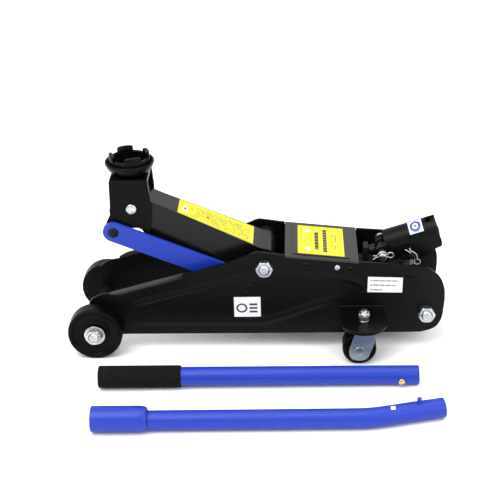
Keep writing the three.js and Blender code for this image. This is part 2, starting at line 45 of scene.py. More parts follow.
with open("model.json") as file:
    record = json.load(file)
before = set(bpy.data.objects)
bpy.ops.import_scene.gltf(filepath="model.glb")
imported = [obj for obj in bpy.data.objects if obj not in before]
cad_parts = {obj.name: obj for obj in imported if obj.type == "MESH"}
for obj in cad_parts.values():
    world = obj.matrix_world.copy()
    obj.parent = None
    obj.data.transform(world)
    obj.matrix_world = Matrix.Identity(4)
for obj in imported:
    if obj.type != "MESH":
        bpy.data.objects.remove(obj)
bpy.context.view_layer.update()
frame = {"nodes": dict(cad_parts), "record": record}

MM = 0.001
SHIFT = Vector((-194.0, 67.6, 0.0))
SIDES = (("left", -1), ("right", 1))
TAU = 2 * math.pi
ACROSS = (0, 1, 0)
UPRIGHT = (0, 0, 1)
ALONG = (1, 0, 0)
SHARP = math.radians(38)
NUMBER = "NodeSocketFloat"
BODY_OF = {
    piece: body
    for body, pieces in frame["record"]["behaviour"]["bodies"].items()
    for piece in pieces
}

# ---------------------------------------------------------------- geometry


def metres(point):
    """A point in jack millimetres, measured from the front axle, in the shared frame."""
    return (Vector(point) + SHIFT) * MM


def across(place):
    """Centre, on the mid-plane, of what turns or passes through at a place in X and Z."""
    return (place[0], 0, place[1])


def soften(corners, closed=True, steps=5):
    """Outline points with each corner that has a third number rounded by that reach."""
    points = []
    count = len(corners)
    for i, corner in enumerate(corners):
        here = Vector(corner[:2])
        reach = corner[2] if len(corner) > 2 else 0
        if not reach or (not closed and i in (0, count - 1)):
            points.append((here.x, here.y))
            continue
        before = Vector(corners[i - 1][:2])
        after = Vector(corners[(i + 1) % count][:2])
        reach = min(
            reach, 0.47 * (before - here).length, 0.47 * (after - here).length
        )
        start = here + (before - here).normalized() * reach
        end = here + (after - here).normalized() * reach
        for k in range(steps + 1):
            t = k / steps
            p = start * (1 - t) ** 2 + here * (2 * t * (1 - t)) + end * t**2
            points.append((p.x, p.y))
    return points


def circle(radius, centre=(0, 0), sides=40, first=0.0, last=TAU):
    """Points round a circle or an arc."""
    whole = abs(last - first - TAU) < 1e-6
    steps = sides if whole else sides - 1
    return [
        (
            centre[0] + radius * math.cos(first + (last - first) * k / steps),
            centre[1] + radius * math.sin(first + (last - first) * k / steps),
        )
        for k in range(sides)
    ]


def strap(a, b, radius, end_radius=None, sides=14):
    """Outline of a strip with round ends."""
    end_radius = radius if end_radius is None else end_radius
    turn = math.atan2(b[1] - a[1], b[0] - a[0])
    return circle(end_radius, b, sides, turn - TAU / 4, turn + TAU / 4) + circle(
        radius, a, sides, turn + TAU / 4, turn + 3 * TAU / 4
    )


def dome(radius, start, height, steps):
    """Profile of a rounded end, from its rim inwards; steps are angles up from the rim."""
    return [(radius * math.cos(a), start + height * math.sin(a)) for a in steps]


def axes_for(axis):
    """An axis made unit length, and two unit vectors square to it and to each other."""
    axis = Vector(axis).normalized()
    helper = Vector((0, 0, 1)) if abs(axis.z) < 0.9 else Vector((1, 0, 0))
    u = axis.cross(helper).normalized()
    return axis, u, axis.cross(u).normalized()


def into_frame(mesh):
    """Turns a mesh in jack millimetres into one in metres, in the shared frame."""
    matrix = Matrix.Scale(MM, 4) @ Matrix.Translation(SHIFT)
    bmesh.ops.transform(mesh, matrix=matrix, verts=mesh.verts[:])


class Shape:
    """Closed skins of one piece, collected in jack millimetres."""

    def __init__(self):
        self.mesh = bmesh.new()

    def skin(self, rings, wrap=False, caps=True):
        """Joins rings of points, each a closed loop, into one closed skin."""
        rows = [[self.mesh.verts.new(p) for p in ring] for ring in rings]
        count = len(rows[0])
        last = len(rows) if wrap else len(rows) - 1
        for i in range(last):
            a, b = rows[i], rows[(i + 1) % len(rows)]
            for k in range(count):
                m = (k + 1) % count
                self.mesh.faces.new((a[k], a[m], b[m], b[k]))
        if caps and not wrap:
            self.mesh.faces.new(list(reversed(rows[0])))
            self.mesh.faces.new(rows[-1])
        return self

    def turned(self, origin, axis, profile, sides=64, wrap=False):
        """Turns a profile of (radius, distance along) pairs about an axis."""
        axis, u, v = axes_for(axis)
        origin = Vector(origin)
        rings = [
            [
                origin
                + axis * along
                + u * (radius * math.cos(TAU * k / sides))
                + v * (radius * math.sin(TAU * k / sides))
                for k in range(sides)
            ]
            for radius, along in profile
        ]
        return self.skin(rings, wrap=wrap)

    def ring(self, origin, axis, profile, sides=64):
        """A turned piece with a hole, from a closed profile."""
        return self.turned(origin, axis, profile, sides, wrap=True)

    def plate(self, outline, holes, place, near, far):
        """A flat sheet with holes; place maps (u, v, depth) to a point."""
        sheet = bmesh.new()
        for loop in (outline, *holes):
            verts = [sheet.verts.new((u, v, 0)) for u, v in loop]
            for i, vert in enumerate(verts):
                sheet.edges.new((vert, verts[(i + 1) % len(verts)]))
        bmesh.ops.triangle_fill(
            sheet, use_beauty=True, use_dissolve=False, edges=sheet.edges[:]
        )
        bmesh.ops.dissolve_limit(
            sheet,
            angle_limit=0.02,
            use_dissolve_boundaries=False,
            verts=sheet.verts[:],
            edges=sheet.edges[:],
        )
        sheet.verts.index_update()
        low = [self.mesh.verts.new(place(v.co.x, v.co.y, near)) for v in sheet.verts]
        high = [self.mesh.verts.new(place(v.co.x, v.co.y, far)) for v in sheet.verts]
        for face in sheet.faces:
            indices = [v.index for v in face.verts]
            self.mesh.faces.new([low[i] for i in indices])
            self.mesh.faces.new([high[i] for i in reversed(indices)])
        for edge in sheet.edges:
            if len(edge.link_faces) == 1:
                a, b = (v.index for v in edge.verts)
                self.mesh.faces.new((low[a], low[b], high[b], high[a]))
        sheet.free()
        return self

    def pipe(self, path, radius, sides=32):
        """A round bar along a path of points; radius may be a list, one per point."""
        points = [Vector(p) for p in path]
        radii = radius if isinstance(radius, list) else [radius] * len(points)
        first = (points[1] - points[0]).normalized()
        _, u, _ = axes_for(first)
        rings = []
        for i, point in enumerate(points):
            ahead = points[min(i + 1, len(points) - 1)]
            behind = points[max(i - 1, 0)]
            along = (ahead - behind).normalized()
            u = (u - along * u.dot(along)).normalized()
            v = along.cross(u)
            rings.append(
                [
                    point
                    + u * (radii[i] * math.cos(TAU * k / sides))
                    + v * (radii[i] * math.sin(TAU * k / sides))
                    for k in range(sides)
                ]
            )
        return self.skin(rings)

    def mirrored(self, side):
        """Turns the piece to the other side of the jack when side is -1."""
        if side < 0:
            bmesh.ops.scale(self.mesh, vec=(1, -1, 1), verts=self.mesh.verts[:])
        return self

    def place(self, matrix):
        """Moves the piece by a matrix in jack millimetres."""
        bmesh.ops.transform(self.mesh, matrix=matrix, verts=self.mesh.verts[:])
        return self

    def done(self, name, paint, bevel=0.0, segments=2, replaced=None):
        """Makes the object, in metres, riding with the body of the CAD node it replaces."""
        into_frame(self.mesh)
        bmesh.ops.recalc_face_normals(self.mesh, faces=self.mesh.faces[:])
        data = bpy.data.meshes.new(name)
        self.mesh.to_mesh(data)
        self.mesh.free()
        return dress(name, data, paint, bevel, segments, replaced)


def standing(u, v, depth):
    """Outline in X and Z, thickness across the jack."""
    return (u, depth, v)


def lying(u, v, depth):
    """Outline in X and Y, thickness upwards."""
    return (u, v, depth)


def linked(name, data):
    """A new object in the scene that holds the given data."""
    obj = bpy.data.objects.new(name, data)
    bpy.context.scene.collection.objects.link(obj)
    return obj


def dress(name, data, paint, bevel, segments=2, replaced=None):
    """Links a finished mesh as a piece: shading, rounded edges, material, body."""
    cad_node = replaced or name
    for polygon in data.polygons:
        polygon.use_smooth = True
    data.set_sharp_from_angle(angle=SHARP)
    data.materials.clear()
    data.materials.append(material(paint))
    obj = linked(name, data)
    if bevel:
        edge = obj.modifiers.new("rounded edges", "BEVEL")
        edge.width = bevel * MM
        edge.segments = segments
        edge.limit_method = "ANGLE"
        edge.angle_limit = SHARP
        edge.harden_normals = True
    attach(obj, BODY_OF[cad_node])
    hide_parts(cad_node)
    return obj


def expect(*names):
    """Stops the build when a piece is missing or empty."""
    for name in names:
        obj = bpy.data.objects.get(name)
        if obj is None or not obj.data.polygons:
            raise RuntimeError(f"{name} was not made")


def bright_ends(obj, reach):
    """Plates the parts of a dark cross shaft beyond a distance from the mid-plane."""
    obj.data.materials.append(material("zinc"))
    middle = metres((0, 0, 0)).y
    for polygon in obj.data.polygons:
        if abs(polygon.center.y - middle) > reach * MM:
            polygon.material_index = 1


def refined(name, paint, bevel=0.4, segments=2):
    """A copy of a CAD node with its vertices merged and its edges rounded."""
    data = frame["nodes"][name].data.copy()
    mesh = bmesh.new()
    mesh.from_mesh(data)
    bmesh.ops.remove_doubles(mesh, verts=mesh.verts[:], dist=2e-6)
    bmesh.ops.dissolve_limit(
        mesh,
        angle_limit=math.radians(0.6),
        use_dissolve_boundaries=False,
        verts=mesh.verts[:],
        edges=mesh.edges[:],
    )
    bmesh.ops.recalc_face_normals(mesh, faces=mesh.faces[:])
    mesh.to_mesh(data)
    mesh.free()
    return dress(name, data, paint, bevel, segments)


# ---------------------------------------------------------------- shading


def group(name, inputs, outputs, build):
    """A shader node group, made once."""
    found = bpy.data.node_groups.get(name)
    if found:
        return found
    tree = bpy.data.node_groups.new(name, "ShaderNodeTree")
    for label, kind, value in inputs:
        item = tree.interface.new_socket(label, in_out="INPUT", socket_type=kind)
        if value is not None:
            item.default_value = value
    for label, kind in outputs:
        tree.interface.new_socket(label, in_out="OUTPUT", socket_type=kind)
    source = tree.nodes.new("NodeGroupInput")
    target = tree.nodes.new("NodeGroupOutput")
    build(tree, source, target)
    return tree


def node(tree, kind, **properties):
    """A node with its plain properties set."""
    made = tree.nodes.new(kind)
    for key, value in properties.items():
        setattr(made, key, value)
    return made


def mask_between(tree, value, low, high):
    """A mask that rises from nothing to full as a value goes from low to high."""
    made = node(tree, "ShaderNodeMapRange")
    made.inputs["From Min"].default_value = low
    made.inputs["From Max"].default_value = high
    tree.links.new(value, made.inputs["Value"])
    return made.outputs["Result"]


def maths(tree, operation, a, b=None, clamp=False):
    """One maths node; numbers are set, sockets are linked."""
    made = tree.nodes.new("ShaderNodeMath")
    made.operation = operation
    made.use_clamp = clamp
    for index, value in enumerate((a, b)):
        if value is None:
            continue
        if isinstance(value, (int, float)):
            made.inputs[index].default_value = value
        else:
            tree.links.new(value, made.inputs[index])
    return made.outputs[0]


def build_speckle(tree, source, target):
    """Fills the group of the uneven finish."""
    place = node(tree, "ShaderNodeTexCoord")
    fine = node(tree, "ShaderNodeTexNoise")
    fine.inputs["Detail"].default_value = 4.0
    broad = node(tree, "ShaderNodeTexNoise")
    broad.inputs["Detail"].default_value = 3.0
    for noise, label in ((fine, "Fine Scale"), (broad, "Broad Scale")):
        tree.links.new(place.outputs["Object"], noise.inputs["Vector"])
        tree.links.new(source.outputs[label], noise.inputs["Scale"])
    centred = maths(tree, "SUBTRACT", broad.outputs["Fac"], 0.5)
    spread = maths(tree, "MULTIPLY", centred, source.outputs["Variation"])
    rough = maths(tree, "ADD", source.outputs["Roughness"], spread, clamp=True)
    tree.links.new(rough, target.inputs["Roughness"])
    tree.links.new(fine.outputs["Fac"], target.inputs["Height"])
    dust = mask_between(tree, broad.outputs["Fac"], 0.52, 0.74)
    tree.links.new(dust, target.inputs["Dust"])


def speckle():
    """Uneven gloss, grain height and a dust mask in object space."""
    return group(
        "uneven finish",
        [
            ("Fine Scale", NUMBER, 900.0),
            ("Broad Scale", NUMBER, 22.0),
            ("Roughness", NUMBER, 0.4),
            ("Variation", NUMBER, 0.2),
        ],
        [
            ("Roughness", NUMBER),
            ("Height", NUMBER),
            ("Dust", NUMBER),
        ],
        build_speckle,
    )


def build_scratches(tree, source, target):
    """Fills the group of the drawn marks."""
    place = node(tree, "ShaderNodeTexCoord")
    stretch = node(tree, "ShaderNodeMapping")
    tree.links.new(place.outputs["Object"], stretch.inputs["Vector"])
    tree.links.new(source.outputs["Stretch"], stretch.inputs["Scale"])
    noise = node(tree, "ShaderNodeTexNoise")
    noise.inputs["Scale"].default_value = 60.0
    noise.inputs["Detail"].default_value = 6.0
    tree.links.new(stretch.outputs["Vector"], noise.inputs["Vector"])
    mask = mask_between(tree, noise.outputs["Fac"], 0.45, 0.7)
    tree.links.new(mask, target.inputs["Mask"])
    tree.links.new(noise.outputs["Fac"], target.inputs["Height"])


def scratches():
    """Long fine marks, as a mask and a height."""
    return group(
        "drawn marks",
        [("Stretch", "NodeSocketVector", (1.0, 14.0, 1.0))],
        [("Mask", NUMBER), ("Height", NUMBER)],
        build_scratches,
    )


# Each finish: colour setting, metallic, roughness and its spread, grain scale, grain relief in
# metres, specular level and how much paler dust makes it.
FINISHES = {
    "black paint": ("black", 0.0, 0.34, 0.16, 1400.0, 0.00002, 0.1, 0.002),
    "cover paint": ("grey_black", 0.0, 0.4, 0.14, 1500.0, 0.00002, 0.5, 0.006),
    "arm paint": ("black", 0.0, 0.27, 0.14, 1400.0, 0.00002, 0.24, 0.002),
    "bracket paint": ("black", 0.0, 0.3, 0.14, 1400.0, 0.00002, 0.07, 0.001),
    "blue paint": ("blue", 0.0, 0.34, 0.12, 1700.0, 0.00001, 0.3, 0.0),
    "zinc": ("zinc", 1.0, 0.3, 0.16, 1100.0, 0.00001, 0.5, 0.0),
    "fork zinc": ("fork_zinc", 1.0, 0.44, 0.2, 1100.0, 0.00001, 0.5, 0.0),
    "steel": ("steel", 1.0, 0.36, 0.2, 900.0, 0.00001, 0.5, 0.0),
    "dark steel": ("dark_steel", 0.6, 0.42, 0.2, 900.0, 0.00001, 0.2, 0.0),
    "cast iron": ("iron", 0.0, 0.55, 0.2, 620.0, 0.00012, 0.15, 0.006),
    "saddle iron": ("saddle", 0.0, 0.3, 0.18, 520.0, 0.00006, 0.09, 0.001),
    "wheel paint": ("wheel", 0.0, 0.36, 0.14, 1000.0, 0.00002, 0.075, 0.001),
    "nylon": ("nylon", 0.0, 0.42, 0.1, 1500.0, 0.00001, 0.08, 0.002),
    "foam": ("foam", 0.0, 0.85, 0.04, 1300.0, 0.00007, 0.06, 0.004),
    "brass": ("brass", 1.0, 0.24, 0.14, 900.0, 0.00001, 0.5, 0.0),
}


def paint_colour(setting, shade=1.0, lift=0.0):
    """One of the colour settings with full opacity, made darker or paler."""
    values = getattr(bpy.context.scene.jack_colours, setting)
    return tuple(shade * value + lift for value in values) + (1.0,)


def shader(name):
    """An empty node material with its surface node."""
    made = bpy.data.materials.new(f"jack {name}")
    made.use_nodes = True
    tree = made.node_tree
    return made, tree, tree.nodes["Principled BSDF"]


def uneven_surface(tree, surface, fine, rough, spread, relief, strength):
    """Gives a surface its uneven gloss and grain, and returns both nodes."""
    uneven = node(tree, "ShaderNodeGroup", node_tree=speckle())
    uneven.inputs["Fine Scale"].default_value = fine
    uneven.inputs["Roughness"].default_value = rough
    uneven.inputs["Variation"].default_value = spread
    tree.links.new(uneven.outputs["Roughness"], surface.inputs["Roughness"])
    grain = node(tree, "ShaderNodeBump")
    grain.inputs["Strength"].default_value = strength
    grain.inputs["Distance"].default_value = relief
    tree.links.new(grain.outputs["Normal"], surface.inputs["Normal"])
    return uneven, grain


def two_tones(tree, surface, first, second, mask):
    """Base colour that goes from one tone to another by a mask."""
    tone = node(tree, "ShaderNodeMix", data_type="RGBA")
    tone.inputs[6].default_value = first
    tone.inputs[7].default_value = second
    tree.links.new(mask, tone.inputs[0])
    tree.links.new(tone.outputs[2], surface.inputs["Base Color"])


def solid_finish(name):
    """Paint, plating, castings and mouldings: one colour with an uneven surface."""
    setting, metallic, rough, spread, fine, relief, specular, dust = FINISHES[name]
    made, tree, surface = shader(name)
    surface.inputs["Metallic"].default_value = metallic
    surface.inputs["Specular IOR Level"].default_value = specular
    uneven, grain = uneven_surface(tree, surface, fine, rough, spread, relief, 0.55)
    height = uneven.outputs["Height"]
    base = paint_colour(setting)
    if metallic > 0.5:
        marks = node(tree, "ShaderNodeGroup", node_tree=scratches())
        height = maths(tree, "ADD", height, marks.outputs["Height"])
        two_tones(tree, surface, base, paint_colour(setting, shade=0.72), marks.outputs["Mask"])
    elif dust:
        two_tones(tree, surface, base, paint_colour(setting, lift=dust), uneven.outputs["Dust"])
    else:
        surface.inputs["Base Color"].default_value = base
    tree.links.new(height, grain.inputs["Height"])
    return made


def place_on_label(tree, source):
    """The two coordinates of the label's own layout."""
    split = node(tree, "ShaderNodeSeparateXYZ")
    tree.links.new(source.outputs["Place"], split.inputs[0])
    return split.outputs[0], split.outputs[1]


def from_centre(tree, source):
    """Distances along and up the label from a mark's centre."""
    u, v = place_on_label(tree, source)
    along = maths(tree, "SUBTRACT", u, source.outputs["U"])
    return along, maths(tree, "SUBTRACT", v, source.outputs["V"])


def build_bars(tree, source, target):
    """Fills the group of printed rows."""
    u, v = place_on_label(tree, source)
    inside = None
    for value, low, high in ((u, "Left", "Right"), (v, "Bottom", "Top")):
        for operation, limit in (("GREATER_THAN", low), ("LESS_THAN", high)):
            test = maths(tree, operation, value, source.outputs[limit])
            inside = test if inside is None else maths(tree, "MULTIPLY", inside, test)
    span = maths(tree, "SUBTRACT", v, source.outputs["Bottom"])
    depth = maths(tree, "SUBTRACT", source.outputs["Top"], source.outputs["Bottom"])
    row = maths(tree, "DIVIDE", span, depth)
    row = maths(tree, "MULTIPLY", row, source.outputs["Rows"])
    band = maths(tree, "LESS_THAN", maths(tree, "FRACT", row), 0.52)
    step = maths(tree, "MULTIPLY", u, source.outputs["Marks"])
    joint = node(tree, "ShaderNodeCombineXYZ")
    tree.links.new(maths(tree, "FLOOR", step), joint.inputs[0])
    tree.links.new(maths(tree, "FLOOR", row), joint.inputs[1])
    dice = node(tree, "ShaderNodeTexWhiteNoise", noise_dimensions="2D")
    tree.links.new(joint.outputs[0], dice.inputs["Vector"])
    mark = maths(tree, "GREATER_THAN", dice.outputs["Value"], source.outputs["Gaps"])
    dash = maths(tree, "LESS_THAN", maths(tree, "FRACT", step), source.outputs["Fill"])
    mark = maths(tree, "MULTIPLY", mark, dash)
    ink = maths(tree, "MULTIPLY", maths(tree, "MULTIPLY", inside, band), mark)
    tree.links.new(ink, target.inputs["Ink"])


def bars():
    """Rows of plain printed dashes inside a box of the label."""
    return group(
        "printed rows",
        [
            ("Place", "NodeSocketVector", None),
            ("Left", NUMBER, 0.1),
            ("Right", NUMBER, 0.9),
            ("Bottom", NUMBER, 0.1),
            ("Top", NUMBER, 0.9),
            ("Rows", NUMBER, 3.0),
            ("Marks", NUMBER, 30.0),
            ("Gaps", NUMBER, 0.2),
            ("Fill", NUMBER, 0.7),
        ],
        [("Ink", NUMBER)],
        build_bars,
    )


def build_triangle(tree, source, target):
    """Fills the plain triangle group."""
    du, dv = from_centre(tree, source)
    du = maths(tree, "DIVIDE", du, source.outputs["Width"])
    dv = maths(tree, "DIVIDE", dv, source.outputs["Height"])
    slope = maths(tree, "ADD", maths(tree, "MULTIPLY", maths(tree, "ABSOLUTE", du), 2.0), dv)
    under = maths(tree, "LESS_THAN", slope, 0.5)
    above = maths(tree, "GREATER_THAN", dv, -0.5)
    tree.links.new(maths(tree, "MULTIPLY", under, above), target.inputs["Ink"])


def triangle():
    """A plain triangle on the label."""
    return group(
        "plain triangle",
        [
            ("Place", "NodeSocketVector", None),
            ("U", NUMBER, 0.5),
            ("V", NUMBER, 0.5),
            ("Width", NUMBER, 0.2),
            ("Height", NUMBER, 0.2),
        ],
        [("Ink", NUMBER)],
        build_triangle,
    )


def build_disc(tree, source, target):
    """Fills the plain ring group."""
    du, dv = from_centre(tree, source)
    dv = maths(tree, "MULTIPLY", dv, source.outputs["Aspect"])
    square = maths(tree, "ADD", maths(tree, "MULTIPLY", du, du), maths(tree, "MULTIPLY", dv, dv))
    reach = maths(tree, "SQRT", square)
    outer = maths(tree, "LESS_THAN", reach, source.outputs["Outer"])
    inner = maths(tree, "GREATER_THAN", reach, source.outputs["Inner"])
    tree.links.new(maths(tree, "MULTIPLY", outer, inner), target.inputs["Ink"])


def disc():
    """A plain ring or dot on the label."""
    return group(
        "plain ring",
        [
            ("Place", "NodeSocketVector", None),
            ("U", NUMBER, 0.5),
            ("V", NUMBER, 0.5),
            ("Outer", NUMBER, 0.2),
            ("Inner", NUMBER, -1.0),
            ("Aspect", NUMBER, 1.0),
        ],
        [("Ink", NUMBER)],
        build_disc,
    )


def area(left, right, bottom, top, **more):
    """Settings of rows of dashes inside a box, in shares of the label."""
    return dict(Left=left, Right=right, Bottom=bottom, Top=top, **more)


def stroke(left, right, bottom, top, rows=1.0, marks=30.0):
    """Settings of unbroken strokes inside a box."""
    return area(left, right, bottom, top, Rows=rows, Marks=marks, Gaps=-1.0, Fill=2.0)


# Each label: its base colour, then its marks as (kind, ink colour, settings).
LABELS = {
    "cover label": (
        "label_yellow",
        [
            ("bars", "label_shade", stroke(0.03, 0.97, 0.075, 0.09)),
            ("bars", "label_shade", stroke(0.03, 0.97, 0.91, 0.925)),
            ("bars", "ink_black", area(0.17, 0.8, 0.55, 0.71, Rows=1.0, Marks=9.0, Gaps=0.02, Fill=0.9)),
            ("bars", "ink_black", area(0.1, 0.9, 0.37, 0.53, Rows=1.0, Marks=11.0, Gaps=0.02, Fill=0.9)),
            ("bars", "label_shade", area(0.25, 0.75, 0.16, 0.30, Rows=2.0, Marks=20.0, Gaps=0.4)),
            ("triangle", "ink_white", dict(U=0.18, V=0.81, Width=0.16, Height=0.13)),
            ("disc", "ink_white", dict(U=0.82, V=0.8, Outer=0.06, Aspect=0.85)),
        ],
    ),
    "arm label": (
        "label_yellow",
        [
            ("triangle", "ink_white", dict(U=0.09, V=0.55, Width=0.1, Height=0.5)),
            ("triangle", "ink_black", dict(U=0.09, V=0.5, Width=0.04, Height=0.2)),
            ("bars", "label_shade", area(0.17, 0.95, 0.14, 0.86, Rows=6.0, Marks=62.0, Gaps=0.35)),
            ("bars", "label_shade", stroke(0.02, 0.98, 0.04, 0.08)),
            ("bars", "ink_black", stroke(0.38, 0.4, 0.4, 0.62)),
        ],
    ),
    "pictogram label": (
        "label_white",
        [
            ("disc", "ink_black", dict(U=0.29, V=0.5, Outer=0.21, Inner=0.14)),
            ("bars", "ink_black", stroke(0.58, 0.88, 0.29, 0.79, rows=3.0, marks=1.0)),
        ],
    ),
    "text label": (
        "label_white",
        [
            ("bars", "ink_grey", area(0.08, 0.92, 0.72, 0.9, Rows=1.0, Marks=52.0, Gaps=0.22)),
            ("bars", "ink_grey", area(0.08, 0.8, 0.42, 0.6, Rows=1.0, Marks=52.0, Gaps=0.22)),
            ("bars", "ink_grey", area(0.08, 0.42, 0.12, 0.3, Rows=1.0, Marks=52.0, Gaps=0.2)),
        ],
    ),
    "round label": (
        "label_white",
        [
            ("disc", "ink_blue", dict(U=0.5, V=0.47, Outer=0.4, Inner=0.21)),
            ("disc", "label_shade", dict(U=0.5, V=0.47, Outer=0.12)),
            ("bars", "ink_blue", area(0.3, 0.8, 0.9, 0.96, Rows=1.0, Marks=7.0, Gaps=0.2)),
        ],
    ),
    "tiny label": (
        "label_white",
        [("bars", "ink_blue", area(0.2, 0.8, 0.3, 0.7, Rows=1.0, Marks=6.0, Gaps=0.3))],
    ),
}


def label_finish(name):
    """A printed sheet: plain marks over one colour, read from the piece's own layout."""
    base, marks = LABELS[name]
    made, tree, surface = shader(name)
    place = node(tree, "ShaderNodeUVMap", uv_map="print")
    makers = {"bars": bars, "triangle": triangle, "disc": disc}
    tone = None
    for kind, ink, settings in marks:
        mark = node(tree, "ShaderNodeGroup", node_tree=makers[kind]())
        tree.links.new(place.outputs[0], mark.inputs["Place"])
        for key, value in settings.items():
            mark.inputs[key].default_value = value
        mix = node(tree, "ShaderNodeMix", data_type="RGBA")
        if tone is None:
            mix.inputs[6].default_value = paint_colour(base)
        else:
            tree.links.new(tone, mix.inputs[6])
        mix.inputs[7].default_value = paint_colour(ink)
        tree.links.new(mark.outputs[0], mix.inputs[0])
        tone = mix.outputs[2]
    tree.links.new(tone, surface.inputs["Base Color"])
    uneven, grain = uneven_surface(tree, surface, 900.0, 0.42, 0.1, 0.00001, 0.3)
    tree.links.new(uneven.outputs["Height"], grain.inputs["Height"])
    return made


def material(name):
    """The material of that name, made on first use."""
    found = bpy.data.materials.get(f"jack {name}")
    if found:
        return found
    return label_finish(name) if name in LABELS else solid_finish(name)


# ---------------------------------------------------------------- properties


def colour(name, default, description):
    """A colour setting."""
    return bpy.props.FloatVectorProperty(
        name=name,
        description=description,
        default=default,
        subtype="COLOR",
        size=3,
        min=0.0,
        max=1.0,
    )


def length(name, default, description):
    """A length setting in millimetres."""
    return bpy.props.FloatProperty(
        name=name, description=description, default=default, min=0.1, unit="NONE"
    )


class JackColours(bpy.types.PropertyGroup):
    """Colours of the jack."""

    black: colour("Black paint", (0.0024, 0.0024, 0.0023), "Satin paint of the frame")
    grey_black: colour("Cover paint", (0.008, 0.0078, 0.006), "Paint of the cover plate")
    blue: colour("Blue paint", (0.010, 0.034, 0.34), "Links and handle tubes")
    zinc: colour("Zinc", (0.52, 0.54, 0.555), "Nuts, washers and clips")
    fork_zinc: colour("Fork zinc", (0.36, 0.42, 0.46), "Caster forks")
    steel: colour("Steel", (0.34, 0.35, 0.36), "Ram and springs")
    dark_steel: colour("Dark steel", (0.012, 0.012, 0.013), "Shafts and pins")
    iron: colour("Cast iron", (0.006, 0.006, 0.006), "Pump block")
    saddle: colour("Saddle", (0.0018, 0.0018, 0.0017), "Cast saddle")
    wheel: colour("Wheel paint", (0.0016, 0.0016, 0.0015), "Front wheels")
    nylon: colour("Nylon", (0.003, 0.003, 0.003), "Caster rollers")
    foam: colour("Foam", (0.006, 0.006, 0.0058), "Handle grip")
    brass: colour("Brass", (0.72, 0.56, 0.26), "Lock button")
    label_yellow: colour("Label yellow", (0.62, 0.57, 0.004), "Labels on the arm and cover")
    label_shade: colour("Label shade", (0.2, 0.18, 0.015), "Faint print on yellow")
    label_white: colour("Label white", (0.72, 0.73, 0.72), "Labels on the plate")
    ink_black: colour("Black ink", (0.02, 0.02, 0.015), "Bold print")
    ink_white: colour("White ink", (0.85, 0.85, 0.83), "Triangles and dots")
    ink_grey: colour("Grey ink", (0.06, 0.06, 0.065), "Fine print")
    ink_blue: colour("Blue ink", (0.012, 0.06, 0.25), "Ring on the socket label")


class JackSizes(bpy.types.PropertyGroup):
    """Sizes of the jack in millimetres."""

    wheel_radius: length("Front wheel radius", 33.0, "Radius of the front wheels")
    caster_radius: length("Caster radius", 20.0, "Radius of the rear rollers")
    grip_radius: length("Grip radius", 13.0, "Outer radius of the foam grip")
    tube_radius: length("Tube radius", 11.1, "Radius of the handle tubes")
    nut_flats: length("Nut across flats", 18.7, "Size of the large nuts")
    saddle_radius: length("Saddle radius", 29.5, "Radius of the saddle rim")


# ---------------------------------------------------------------- frame pieces

PLATE_IN, PLATE_OUT = 44.7, 47.7
PIVOT = (205.5, 111.5)
TIE = (399.0, 49.0)
STUD = (183.0, 84.0)
AXLE = (0.0, 33.0)
HEAD_PIN = (48.7, 178.3)
LINK_PIN = (26.2, 150.8)
COVER_RIVET = (292.1, 109.5)
SADDLE = (47.2, 216.0)
SHAFT = 6

PLATE_EDGE = [
    (-4, 21, 12),
    (395, 21, 8),
    (411.7, 27.6, 6),
    (418.2, 40, 6),
    (420.6, 64, 6),
    (420.4, 80, 6),
    (415, 95, 7),
    (401, 108.3, 8),
    (373.8, 112.3, 8),
    (318, 116.6),
    (318, 113.4),
    (229.6, 123),
    (229.6, 126.3),
    (196.2, 131.5, 7),
    (186.6, 126.8, 7),
    (153, 114, 9),
    (120, 104.6, 8),
    (107.9, 102.6, 3),
    (18.5, 77.6, 3),
    (6.6, 75.7, 5),
    (-6, 69, 8),
    (-12, 50, 10),
]


def flange_rings():
    """Cross-sections of the turned-out edge along the front slope."""
    start, end = Vector((18.5, 0, 78.5)), Vector((108.5, 0, 103.6))
    up = Vector((-(end - start).z, 0, (end - start).x)).normalized()
    rings = []
    stations = ((0.0, 4.5), (0.03, 7.0), (0.08, 10.0), (0.14, 11.3), (0.9, 11.3), (0.97, 10.0))
    for share, reach in (*stations, (1.0, 6.5)):
        base = start.lerp(end, share)
        outer = [(PLATE_IN + 0.2, -0.8), (PLATE_IN + 1.2, -0.1)]
        outer += [(PLATE_OUT + reach - 1.0, 0.0), (PLATE_OUT + reach, -0.8)]
        inner = [(PLATE_OUT + reach, -2.2), (PLATE_OUT + reach - 1.0, -3.0)]
        inner += [(PLATE_OUT + 3.4, -3.0), (PLATE_OUT + 1.4, -3.5), (PLATE_OUT + 0.3, -5.0)]
        inner += [(PLATE_OUT - 0.2, -7.0), (PLATE_IN + 0.2, -7.0)]
        rings.append([base + Vector((0, y, 0)) + up * n for y, n in outer + inner])
    return rings


def rib(shape, path, half, height):
    """A soft pressed ridge on the plate's outer face along a path in X and Z."""
    points = [Vector((point[0], 0, point[1])) for point in path]
    last = len(points) - 1
    shares = [-1 + k / 8 for k in range(17)]
    rings = []
    for i, point in enumerate(points):
        along = points[min(i + 1, last)] - points[max(i - 1, 0)]
        side = along.normalized().cross(Vector((0, 1, 0)))
        fade = math.sin(min(1.0, i / 6, (last - i) / 6) * math.pi / 2) ** 2
        top = [
            point
            + side * (half * share)
            + Vector((0, PLATE_OUT - 0.02 + height * fade * (1 + math.cos(math.pi * share)) / 2, 0))
            for share in shares
        ]
        under = [point + side * (half * share) + Vector((0, PLATE_OUT - 0.7, 0)) for share in (1, -1)]
        rings.append(top + under)
    shape.skin(rings)


